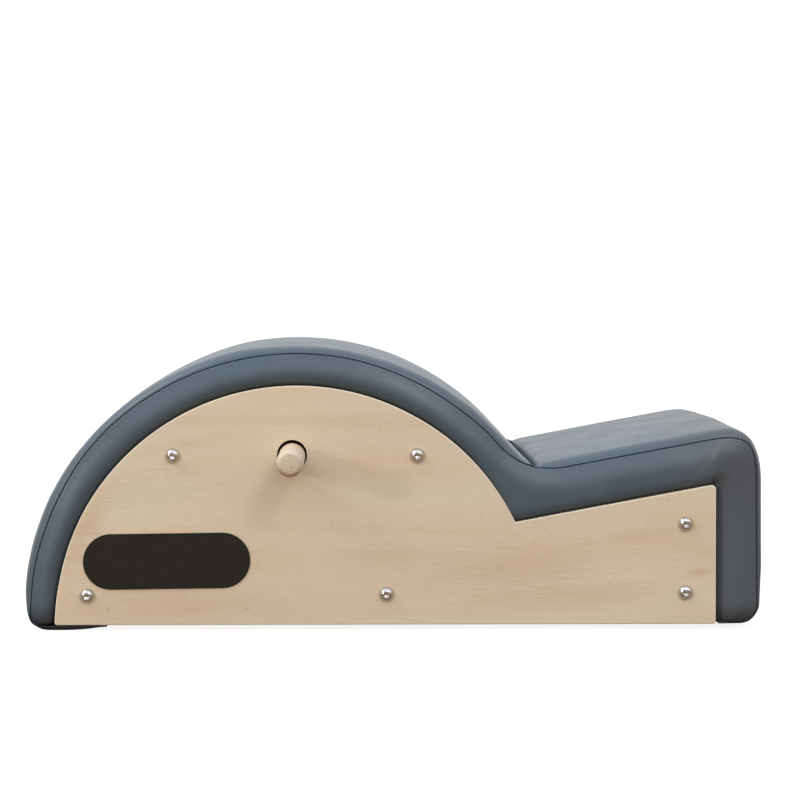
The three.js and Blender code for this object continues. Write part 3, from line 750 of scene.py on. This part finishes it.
def turned(node, ending, section, base, side, finish, sides, sharp, hexed=0):
    """A piece revolved about a solid's axis, from (radius, distance out from a base) pairs.

    The last rings, hexed of them, are drawn as hexagons of that radius across their flats.
    """
    x, z = centre_of(node)
    angles = np.linspace(0, 2 * math.pi, sides, endpoint=False)
    flats = 1 / np.cos((angles + math.pi / 6) % (math.pi / 3) - math.pi / 6)
    points, rings = [], []
    for number, (radius, height) in enumerate(section):
        y = side * (base + height)
        if radius == 0:
            rings.append([len(points)] * sides)
            points.append([x, y, z])
            continue
        reach = radius * (flats if number >= len(section) - hexed else 1)
        rings.append(list(range(len(points), len(points) + sides)))
        round_x, round_z = x + reach * np.cos(angles), z + reach * np.sin(angles)
        points.extend(np.c_[round_x, np.full(sides, y), round_z].tolist())
    faces = [face for low, high in zip(rings, rings[1:]) for face in band(low, high)]
    faces = [face if side > 0 else face[::-1] for face in faces]
    return set_mesh(f"{node}_{ending}", points, faces, finish, sharp)


def round_edged(name, rings, depth, edge, finish, side, plane):
    """A flat piece with round edges, its outer face at a plane. The first ring is its outline."""
    drawn = bpy.data.curves.new(name, "CURVE")
    drawn.dimensions = "2D"
    drawn.fill_mode = "BOTH"
    drawn.extrude = (depth / 2 - edge) / 1000
    drawn.bevel_depth = edge / 1000
    drawn.bevel_resolution = 3
    drawn.offset = -edge / 1000
    for ring in rings:
        spline = drawn.splines.new("POLY")
        spline.points.add(len(ring) - 1)
        spline.use_cyclic_u = True
        for point, (x, z) in zip(spline.points, ring):
            point.co = (x / 1000, z / 1000, 0, 1)
    helper = placed(name + "_line", drawn)
    bpy.context.view_layer.update()
    evaluated = helper.evaluated_get(bpy.context.evaluated_depsgraph_get())
    made = bpy.data.meshes.new_from_object(evaluated)
    bpy.data.objects.remove(helper)
    shape = bmesh.new()
    shape.from_mesh(made)
    bmesh.ops.remove_doubles(shape, verts=shape.verts, dist=1e-6)
    for point in shape.verts:
        x, z, out = point.co
        point.co = (x + ARC_X / 1000, side * (plane - depth / 2) / 1000 - out, z)
    shape.normal_update()
    for face in shape.faces:
        face.smooth = abs(face.normal.y) < 0.999
    shape.to_mesh(made)
    shape.free()
    made.name = name
    made.materials.clear()
    made.materials.append(FINISHES[finish])
    return placed(name, made)


def side_panel_rings():
    """The plywood side's outline and its holes."""
    line = seat_line(-SEAT_EDGE_DROP)
    start = meet_arc((PANEL_END, line(PANEL_END)), ARC_RADIUS)
    toe_x = TRIMS[-1] - ARC_RADIUS
    bottom = (0, PANEL_BOTTOM)
    toe = filleted(bottom, (toe_x, PANEL_BOTTOM), (toe_x, END_TOP), PANEL_FOOT_CORNER, 6)
    notch_angle = math.degrees(math.atan2(start[1] - ARC_Z, start[0]))
    angles = np.linspace(BOARD_TOE_ANGLE, notch_angle, BOARD_STATIONS)
    over = polar(angles, ARC_RADIUS - np.interp(angles, TRIM_ANGLES, TRIMS))
    top, low = (BOARD_END, line(BOARD_END)), (BOARD_END, PANEL_BOTTOM)
    corner = filleted(start, top, low, PANEL_CORNER, 10)
    foot = filleted(top, low, bottom, PANEL_FOOT_CORNER, 6)
    rings = [np.vstack([toe, over, corner, foot])[::-1]]
    x, z = centre_of("handle_front")
    rings.append(arc((x, z + HANDLE_DROP), HANDLE_HOLE / 2, 0, 357, 1.0))
    for name in FRONT_BOLTS:
        rings.append(arc(centre_of(name), BOLT_HOLE / 2, 0, 345, 1.0))
    return rings


def plate_ring():
    x, z = centre_of("name_plate")
    radius = PLATE_HEIGHT / 2
    reach = PLATE_LENGTH / 2 - radius
    ends = arc((reach, 0), radius, -90, 90, 2.5), arc((-reach, 0), radius, 90, 270, 2.5)
    return np.vstack(ends) @ np.array(directions(PLATE_TILT)) + [x, z]


# Materials
class Nodes:
    """A node tree, with short calls to build it."""

    def __init__(self, tree, coordinates="Object"):
        self.tree = tree
        self.place = self.add("ShaderNodeTexCoord").outputs[coordinates]

    def add(self, kind, links=(), **values):
        node = self.tree.nodes.new(kind)
        for key, value in values.items():
            setattr(node, key, value)
        for socket, value in dict(links).items():
            self.join(value, node.inputs[socket])
        return node

    def join(self, value, socket):
        if isinstance(value, bpy.types.NodeSocket):
            self.tree.links.new(value, socket)
        else:
            socket.default_value = value

    def shade(self, **values):
        """Values or links for sockets of the material's shader."""
        for key, value in values.items():
            self.join(value, self.shader.inputs[key.replace("_", " ")])

    def noise(self, scale, detail=3.0, rough=0.5, warp=0.0):
        """A noise with so many hills per metre, the same each way or along X, Y and Z."""
        links = {"Vector": self.place, "Scale": scale}
        if isinstance(scale, tuple):
            links = {"Vector": self.add("ShaderNodeMapping", links).outputs["Vector"], "Scale": 1.0}
        links |= {"Detail": detail, "Roughness": rough, "Distortion": warp}
        return self.add("ShaderNodeTexNoise", links).outputs["Fac"]

    def ramp(self, value, low, high, from_zero=0.0, to_one=1.0):
        links = {"Value": value, "From Min": low, "From Max": high}
        links |= {"To Min": from_zero, "To Max": to_one}
        return self.add("ShaderNodeMapRange", links).outputs["Result"]

    def maths(self, operation, a, b=0.0):
        return self.add("ShaderNodeMath", {0: a, 1: b}, operation=operation).outputs["Value"]

    def times(self, a, b):
        return self.maths("MULTIPLY", a, b)

    def stripes(self, value):
        """0.5 at each whole number and 0 halfway between two."""
        return self.maths("ABSOLUTE", self.maths("SUBTRACT", self.maths("FRACT", value), 0.5))

    def vector_maths(self, operation, a, b=(0, 0, 0)):
        node = self.add("ShaderNodeVectorMath", {0: a, 1: b}, operation=operation)
        return node.outputs["Value" if operation == "LENGTH" else "Vector"]

    def from_y_axis(self, vector):
        return self.vector_maths("LENGTH", self.vector_maths("MULTIPLY", vector, (1, 0, 1)))

    def parts(self, vector):
        return self.add("ShaderNodeSeparateXYZ", {"Vector": vector}).outputs

    def facing(self):
        """The X, Y and Z of the surface's own normal."""
        return self.parts(self.add("ShaderNodeNewGeometry").outputs["True Normal"])

    def mixed(self, share, a, b):
        """A colour between two. The Mix node's colours are its inputs 6 and 7 and its output 2."""
        return self.add("ShaderNodeMix", {0: share, 6: a, 7: b}, data_type="RGBA").outputs[2]

    def marked(self, body, marks, tone, ragged, rough=0.9):
        """The body's colour with some long marks of a tone on it, their edges ragged by a noise."""
        for x, z, angle, length, width, share in marks:
            links = {
                "Vector": self.place,
                "Location": ((x + ARC_X) / 1000, 0, z / 1000),
                "Rotation": (0, -math.radians(angle), 0),
                "Scale": (length / 1000, 1000, width / 1000),
            }
            away = self.add("ShaderNodeMapping", links, vector_type="TEXTURE").outputs["Vector"]
            size = self.vector_maths("LENGTH", away)
            edge = self.maths("ADD", size, self.times(self.maths("SUBTRACT", ragged, 0.5), rough))
            body = self.mixed(self.ramp(edge, 0.15, 0.85 + rough / 5, share, 0.0), body, tone)
        return body

    def backdrop_rays(self, behind):
        """1 for the camera's rays, and for mirrored or passing rays that meet the backdrop behind."""
        path = self.add("ShaderNodeLightPath").outputs
        mirrored = self.maths("MAXIMUM", path["Is Glossy Ray"], path["Is Transmission Ray"])
        return self.maths("MAXIMUM", path["Is Camera Ray"], self.times(mirrored, behind))

    def bump(self, height, strength, distance, under=None):
        links = {"Height": height, "Strength": strength, "Distance": distance}
        if under is not None:
            links["Normal"] = under
        return self.add("ShaderNodeBump", links).outputs["Normal"]


def new_material(name, **values):
    """A material and its nodes, with some values of its shader set."""
    material = bpy.data.materials.new(name)
    material.use_nodes = True
    n = Nodes(material.node_tree)
    n.material = material
    n.shader = n.tree.nodes["Principled BSDF"]
    n.shade(**values)
    return n


def colour(code):
    """A linear colour from a six-digit code."""
    parts = [int(code[i : i + 2], 16) / 255 for i in (0, 2, 4)]
    return (*[p / 12.92 if p <= 0.04045 else ((p + 0.055) / 1.055) ** 2.4 for p in parts], 1.0)


def tones(codes):
    return [colour(code) for code in codes.split()]


# Marks are (x, z, angle in degrees, half length, half width, strength) each
# Faint pale smudges on the side strip
PALE_SMUDGE_TONE = colour("7A8188")
PALE_SMUDGES = [
    (521, 216, 62, 13, 5, 0.3),
    (511, 205, 35, 11, 6, 0.22),
    (498, 188.5, 8, 9, 1.2, 0.2),
]
# Patches and specks on the side panels
PLY_WARM = colour("C9A27E")
PLY_PATCHES = [
    (262, 78, 6, 105, 26, 0.42),
    (120, 96, 0, 60, 14, 0.25),
    (505, 72, 8, 17, 5, 0.6),
    (-262, 132, 62, 50, 16, 0.4),
    (30, 262, 0, 150, 9, 0.3),
    (360, 46, 4, 90, 12, 0.3),
    (-120, 236, 10, 70, 8, 0.22),
    (430, 118, 6, 50, 7, 0.3),
    (-130, 30, 0, 140, 24, 0.35),
]
PLY_COOL = colour("D2CAB3")
PLY_PALE_PATCHES = [
    (-180, 178, 4, 75, 26, 0.35),
    (130, 170, 2, 110, 13, 0.25),
    (300, 140, 0, 60, 12, 0.3),
]
PLY_DARK = colour("94775C")
PLY_SPECKS = [
    (-234.5, 26.5, 80, 4, 1.6, 0.5),
    (-61.7, 27, 10, 4, 2, 0.4),
    (320, 73, -30, 2.6, 0.8, 0.7),
    (299, 112, 12, 6, 0.9, 0.4),
    (480, 146, 20, 3, 0.8, 0.4),
    (476, 88, 25, 4, 0.8, 0.4),
    (150, 214, 0, 5, 0.8, 0.35),
]
# Painted highlight along the panels' rounded edges
PLY_EDGE_HIGHLIGHT = colour("F6EAD4")
PLY_LAYER = 3.0
# Painted shade on the leather by the floor, and painted warm light on the leather on the end
FLOOR_SHADE_TONE = colour("1A1715")
END_WARM_LIGHT_TONE = colour("5E544D")


def leather_material(name, base, worn, deep):
    """Smooth dyed leather with a fine grain, with painted warm light on the end and painted shade by
    the floor.
    """
    n = new_material(name, Specular_IOR_Level=0.5)
    tone = n.ramp(n.noise(7, 3, 0.55, 0.3), 0.35, 0.65)
    fine = n.ramp(n.noise(260, 4, 0.6), 0.3, 0.7)
    body = n.mixed(n.times(tone, 0.8), base, worn)
    body = n.mixed(n.times(fine, 0.22), body, deep)
    body = n.marked(body, PALE_SMUDGES, PALE_SMUDGE_TONE, n.noise(120, 4, 0.7))
    place = n.parts(n.place)
    # Painted warm light on the leather on the end
    body = n.mixed(n.ramp(place["X"], 0.33, 0.42, 0.0, 0.3), body, END_WARM_LIGHT_TONE)
    # Painted shade on the leather by the floor, darkest at the bottom
    body = n.mixed(n.ramp(place["Z"], 0.004, 0.034, 0.95, 0.0), body, FLOOR_SHADE_TONE)
    wrinkled = n.bump(n.noise(330, 4, 0.6, 0.6), 0.18, 0.0006)
    cells = n.add("ShaderNodeTexVoronoi", {"Vector": n.place, "Scale": 820}, feature="SMOOTH_F1")
    grain = n.bump(cells.outputs["Distance"], 0.3, 0.00022, wrinkled)
    dull = n.ramp(n.noise(20, 3), 0.3, 0.7, 0.34, 0.42)
    n.shade(Base_Color=body, Roughness=dull, Normal=grain)
    return n.material


# The wood's figures, in hills per metre along X, Y and Z
BROAD_FIGURE = (2.4, 4, 13)
FINE_FIGURE = (9, 60, 150)
PATCH_FIGURE = (16, 60, 190)
STREAKS = (22, 400, 520)
STREAK_AREAS = (4, 9, 14)
FLECKS = (150, 700, 500)
TURNED_GRAIN = (260, 14, 260)


def ply_marks(n, body):
    """The side panels' patches and specks."""
    figure = n.noise(PATCH_FIGURE, 6, 0.75, 1.5)
    body = n.marked(body, PLY_PALE_PATCHES, PLY_COOL, figure, 2.6)
    body = n.marked(body, PLY_PATCHES, PLY_WARM, figure, 3.2)
    return n.marked(body, PLY_SPECKS, PLY_DARK, n.noise(700, 3, 0.6))


def ply_layers(n, body, dark_layer):
    """The plies across Y on the panel's edge, and a painted highlight along the rounded edge."""
    across = n.maths("ABSOLUTE", n.facing()["Y"])
    edge = n.ramp(across, 0.2, 0.45, 1.0, 0.0)
    # Painted highlight on the rounded edge, between the face and the side
    rounded = n.times(n.ramp(across, 0.1, 0.4), n.ramp(across, 0.96, 0.995, 1.0, 0.0))
    stripe = n.stripes(n.times(n.parts(n.place)["Y"], 1000 / PLY_LAYER))
    layers = n.mixed(n.ramp(stripe, 0.2, 0.3), dark_layer, body)
    body = n.mixed(n.times(edge, 0.75), body, layers)
    return n.mixed(n.times(rounded, 0.8), body, PLY_EDGE_HIGHLIGHT)


def wood_material(name, base, warm, pale, dark, layer=None):
    """Pale veneer with grain along X. With a layer's tone it has the sides' marks and layers."""
    n = new_material(name, Specular_IOR_Level=0.4)
    broad = n.ramp(n.noise(BROAD_FIGURE, 3, 0.55, 0.8), 0.34, 0.66)
    fine = n.ramp(n.noise(FINE_FIGURE, 5, 0.6, 0.5), 0.3, 0.7, 0.15, 0.75)
    body = n.mixed(fine, n.mixed(broad, warm, pale), base)
    if layer:
        body = ply_marks(n, body)
    streak = n.ramp(n.noise(STREAKS, 6, 0.7, 0.4), 0.5, 0.75)
    streak = n.times(streak, n.ramp(n.noise(STREAK_AREAS, 2), 0.35, 0.65))
    fleck = n.ramp(n.noise(FLECKS, 2), 0.6, 0.74)
    body = n.mixed(n.times(streak, 0.55), body, dark)
    body = n.mixed(n.times(fleck, 0.5), body, dark)
    if layer:
        body = ply_layers(n, body, layer)
    pores = n.maths("ADD", n.times(streak, -0.6), n.times(fleck, -0.4))
    dull = n.ramp(broad, 0, 1, 0.46, 0.56)
    n.shade(Base_Color=body, Roughness=dull, Normal=n.bump(pores, 0.12, 0.0002))
    return n.material


# The handle's end: the lathe's pin hole beside its axis, and its yearly rings
PIN_HOLE = (0.0017, 0, -0.0041)
PIN_TONE = colour("4A3325")
RINGS_PER_MM = 0.37


def turned_material(name, base, warm, pale, dark, centre):
    """Pale wood turned about Y: faint rings on its end and painted warm shade on its underside."""
    n = new_material(name, Roughness=0.5, Specular_IOR_Level=0.4)
    along = n.ramp(n.noise(TURNED_GRAIN, 4, 0.6, 0.4), 0.35, 0.7)
    mottle = n.ramp(n.noise(90, 4, 0.6), 0.3, 0.7)
    body = n.mixed(mottle, n.mixed(along, warm, pale), base)
    from_axis = n.vector_maths("SUBTRACT", n.place, centre)
    radius = n.times(n.from_y_axis(from_axis), 1000)
    wobble = n.maths("ADD", radius, n.times(n.noise(60, 3), 2.6))
    ring = n.ramp(n.stripes(n.times(wobble, RINGS_PER_MM)), 0.36, 0.5)
    facing = n.facing()
    ended = n.ramp(n.maths("ABSOLUTE", facing["Y"]), 0.3, 0.8)
    body = n.mixed(n.times(n.times(ring, ended), 0.3), body, dark)
    speck = n.ramp(n.noise(700, 2, 0.5), 0.6, 0.72)
    body = n.mixed(n.times(speck, 0.4), body, dark)
    from_hole = n.from_y_axis(n.vector_maths("SUBTRACT", from_axis, PIN_HOLE))
    hole = n.times(n.ramp(from_hole, 0.0006, 0.0011, 0.85, 0.0), ended)
    body = n.mixed(hole, body, PIN_TONE)
    # Painted warm shade on the downward-facing side
    body = n.mixed(n.times(n.ramp(facing["Z"], -0.1, -0.6), 0.5), body, dark)
    n.shade(Base_Color=body, Normal=n.bump(speck, 0.15, 0.0002))
    return n.material


METAL_WEAR = colour("8F8C88")
METAL_SCRATCH = 0.04


def metal_material(name, tint, roughness):
    """Plated steel, a little worn."""
    n = new_material(name, Metallic=1.0)
    wear = n.ramp(n.noise(900, 3, 0.6), 0.35, 0.7)
    body = n.mixed(n.times(wear, 0.25), tint, METAL_WEAR)
    low, high = roughness - METAL_SCRATCH, roughness + METAL_SCRATCH
    dull = n.ramp(n.noise(400, 3), 0.3, 0.7, low, high)
    n.shade(Base_Color=body, Roughness=dull, Normal=n.bump(n.noise(1500, 2), 0.05, 0.0001))
    return n.material


def cloth_material(name, base, thread):
    """Plain weave in two near tones."""
    n = new_material(name, Roughness=0.95, Specular_IOR_Level=0.15)
    links = {"Vector": n.place, "Scale": 420.0}
    waves = [n.add("ShaderNodeTexWave", links, bands_direction=way) for way in ("X", "Y")]
    weave = n.maths("MAXIMUM", *[wave.outputs["Fac"] for wave in waves])
    n.shade(Base_Color=n.mixed(weave, base, thread), Normal=n.bump(weave, 0.4, 0.0003))
    return n.material


def plain_material(name, base, mottle, roughness, level=0.5, scale=300, strength=0.12):
    """Moulded or pressed stuff: two near tones and a fine skin."""
    n = new_material(name, Roughness=roughness, Specular_IOR_Level=level)
    tone = n.ramp(n.noise(scale / 12, 4, 0.6), 0.35, 0.65)
    skin_bump = n.bump(n.noise(scale, 3, 0.6), strength, 0.0002)
    n.shade(Base_Color=n.mixed(tone, base, mottle), Normal=skin_bump)
    return n.material


HANDLE_MIDDLE = sum(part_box("handle_front"), Vector()) / 2
PLYWOOD = wood_material("plywood", *tones("DECBB0 DEBFA0 E2D3B7 C3A585 B4977A"))
FINISHES = {
    "leather": leather_material("leather", *tones("4A5661 505E69 3F4A54")),
    "plywood": PLYWOOD,
    "inner_plywood": PLYWOOD,
    "pine": wood_material("pine", *tones("D8BF8E D2B380 E0CB9F B08A56")),
    "beech": turned_material("beech", *tones("D2C0A8 CFB397 DACDB8 A5795A"), HANDLE_MIDDLE),
    "steel": metal_material("steel", colour("D8D3CF"), 0.2),
    "zinc": metal_material("zinc", colour("B4B6B8"), 0.4),
    "lining": cloth_material("lining", *tones("141416 262629")),
    "plate": plain_material("plate", *tones("1D1A17 24201C"), 0.4, 0.35, 800, 0.05),
    "rubber": plain_material("rubber", *tones("1E1E20 27272A"), 0.8, 0.3),
    "foam": plain_material("foam", *tones("E8E2C8 DDD5B4"), 0.95, 0.2, 900, 0.6),
    "thread": plain_material("thread", *tones("1B2735 223044"), 0.6, 0.3, 2500, 0.3),
}


def finish_nodes():
    """Gives each solid the finish of its slot in the record."""
    for row in frame["record"]["subparts"]:
        slots = nodes[row["node"]].data.materials
        slots.clear()
        slots.append(FINISHES[row["material_slot"]])


finish_nodes()


# Pieces
# Half sections, (radius, distance out) each: a bolt's shank, domed head and socket out from the
# panel's face, and a handle's tail, side and nose out from its end
DOME_RADIUS = 9.8
BOLT_SECTION = [
    (0, -60), (5.0, -60), (5.0, 0.3), (9.1, 0.3), (9.35, 0.6),
    *circle((0, -2.7), DOME_RADIUS, np.linspace(18, 62, 12)),
    (4.1, 6.05), (3.7, 5.9), (3.1, 5.2), (3.0, 2.8), (2.5, 2.4), (0, 1.8),
]
NOSE_ROUND = 7.5
HANDLE_SECTION = [
    (0, -200), (14.3, -200), (15.6, -199.4), (16.4, -198), (16.5, -196), (16.5, -NOSE_ROUND),
    *circle((9.0, -NOSE_ROUND), NOSE_ROUND, np.linspace(0, 72, 11)),
    (10.2, -0.05), (9.6, -0.25), (9.0, 0), (4.5, 0), (0, 0),
]


def carried(piece, slot, body, *stands_for):
    """A finished piece: it rides on a body and stands for some solids, which it hides; the slot is not
    used.
    """
    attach(piece, body)
    if stands_for:
        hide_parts(*stands_for)


arc_leather = set_mesh("arc_top_leather", *skin(arc_top(), LEATHER), "leather")
carried(arc_leather, "leather", "frame", "arc_cover", "arc_foam", "toe_flap")
seat_leather = set_mesh("seat_top_leather", *skin(seat_top(), LEATHER), "leather")
carried(seat_leather, "leather", "frame", "seat_cover", "seat_foam", "heel_flap")

panel_rings = side_panel_rings()
handle_end = round(-1000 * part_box("handle_front")[0].y, 1)
for side, word in SIDES:
    name = f"side_board_{word}"
    size = PANEL_THICKNESS, PANEL_EDGE_ROUND
    board = round_edged(name, panel_rings, *size, "plywood", side, PANEL_FACE)
    carried(board, "plywood", "frame", f"side_panel_{word}")
    strip = leather_strip(f"side_leather_{word}", side)
    carried(strip, "leather", "frame", "arc_cover", "seat_cover")
    carried(stitches(f"seam_thread_{word}", side), "leather", "frame")
    for bolt in FRONT_BOLTS:
        node = bolt.replace("front", word)
        head = turned(node, "steel", BOLT_SECTION, PANEL_FACE, side, "steel", 48, sharp=35, hexed=4)
        carried(head, "steel", "frame", node)
    node = f"handle_{word}"
    handle = turned(node, "turned", HANDLE_SECTION, handle_end, side, "beech", 72, sharp=50)
    carried(handle, "beech", f"{word}_handle", node)
plate_face = -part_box("name_plate")[0].y * 1000
size = PLATE_THICKNESS, PLATE_EDGE_ROUND
plate = round_edged("plate_blank", [plate_ring()], *size, "plate", -1, plate_face)
carried(plate, "plate", "frame", "name_plate")


# Floor, light and camera
FLOOR_SIZE = 40.0
FLOOR_TONE = (0.25, 0.19, 0.135, 1)
WHITE = (1, 1, 1, 1)


def floor():
    """A wide floor: white to the camera but for the object's shadow, and dim to the object."""
    mesh = bpy.data.meshes.new("floor")
    corners = [(x * FLOOR_SIZE, y * FLOOR_SIZE, 0) for x, y in ((-1, -1), (1, -1), (1, 1), (-1, 1))]
    mesh.from_pydata(corners, [], [(0, 1, 2, 3)])
    n = new_material("floor", Base_Color=FLOOR_TONE, Roughness=0.9, Specular_IOR_Level=0.0)
    plain = n.shader.outputs["BSDF"]
    glow = n.ramp(n.vector_maths("LENGTH", n.place), 0.9, 2.4, 0.89, 1.0)
    glow = n.add("ShaderNodeEmission", {"Color": WHITE, "Strength": glow}).outputs["Emission"]
    both = n.add("ShaderNodeAddShader", {0: plain, 1: glow}).outputs["Shader"]
    seen = n.backdrop_rays(n.ramp(n.parts(n.place)["Y"], 0.25, 0.5))
    shown = n.add("ShaderNodeMixShader", {0: seen, 1: plain, 2: both}).outputs["Shader"]
    n.join(shown, n.tree.nodes["Material Output"].inputs["Surface"])
    mesh.materials.append(n.material)
    made = placed("floor", mesh)


# The room's light by height, from the horizon up: (height of its direction, colour)
ROOM_LIGHT = 1.76
FRONT_LIGHT = [
    (0.0, (0.15, 0.11, 0.075)),
    (0.12, (0.24, 0.18, 0.135)),
    (0.32, (0.62, 0.57, 0.53)),
    (0.52, (0.68, 0.77, 0.86)),
    (1.0, (0.56, 0.7, 0.85)),
]
BACK_LIGHT = [
    (0.0, (0.42, 0.42, 0.44)),
    (0.2, (0.52, 0.54, 0.56)),
    (0.45, (0.65, 0.65, 0.62)),
    (1.0, (0.7, 0.66, 0.6)),
]
SIDE_LIGHT = (0.25, 0.205, 0.175, 1)


def world():
    """A dim room in front, bright above and behind. The camera sees it as a white backdrop."""
    made = bpy.data.worlds.new("world")
    made.use_nodes = True
    bpy.context.scene.world = made
    n = Nodes(made.node_tree, "Generated")
    toward = n.parts(n.place)
    sides = []
    for stops in (FRONT_LIGHT, BACK_LIGHT):
        node = n.add("ShaderNodeValToRGB", {"Fac": toward["Z"]})
        steps = node.color_ramp.elements
        for height, _ in stops[2:]:
            steps.new(height)
        for step, (height, tint) in zip(steps, stops):
            step.position = height
            step.color = (*tint, 1)
        sides.append(node.outputs["Color"])
    light = n.mixed(n.ramp(toward["Y"], -0.5, 0.5), *sides)
    aside = n.ramp(n.maths("ABSOLUTE", toward["X"]), 0.35, 0.8)
    low = n.ramp(toward["Z"], 0.1, 0.5, 1.0, 0.0)
    light = n.mixed(n.times(aside, low), light, SIDE_LIGHT)
    seen = n.backdrop_rays(n.ramp(toward["Y"], 0.0, 0.25))
    background = n.tree.nodes["Background"]
    n.join(n.mixed(seen, light, WHITE), background.inputs["Color"])
    n.join(n.ramp(seen, 0, 1, ROOM_LIGHT, 1.0), background.inputs["Strength"])


# Lamps: (name, place, size, watts) each, turned to the object's middle
LAMPS = [
    ("key_right", (1.77, -4.7, 3.62), 1.2, 45),
    ("key_left", (-4.9, -3.72, 1.64), 0.8, 62),
    ("top_left", (-2.2, -0.6, 2.6), 1.6, 32),
]
LAMP_TARGET = (0, 0, 0.2)


def lamp(name, place, size, watts):
    data = bpy.data.lights.new(name, "AREA")
    data.shape = "DISK"
    data.size = size
    data.energy = watts
    made = placed(name, data)
    made.location = place
    made.rotation_euler = (Vector(LAMP_TARGET) - made.location).to_track_quat("-Z", "Y").to_euler()


# The camera stands a little above the object's middle and looks almost level along +Y
CAMERA_LENS = 91.95
CAMERA_SHIFT = (0.0294, -0.1131)
CAMERA_PLACE = (0.0672, -2.760, 0.4411)
CAMERA_DOWN = 0.89
CAMERA_TURN = -0.74


def camera():
    data = bpy.data.cameras.new("camera")
    data.lens = CAMERA_LENS
    data.shift_x, data.shift_y = CAMERA_SHIFT
    made = placed("camera", data)
    made.location = CAMERA_PLACE
    made.location.x += ARC_X / 1000
    made.rotation_euler = (math.radians(90 - CAMERA_DOWN), 0, math.radians(CAMERA_TURN))
    bpy.context.scene.camera = made


floor()
world()
for row in LAMPS:
    lamp(*row)
camera()
bpy.context.scene.view_settings.view_transform = "Standard"
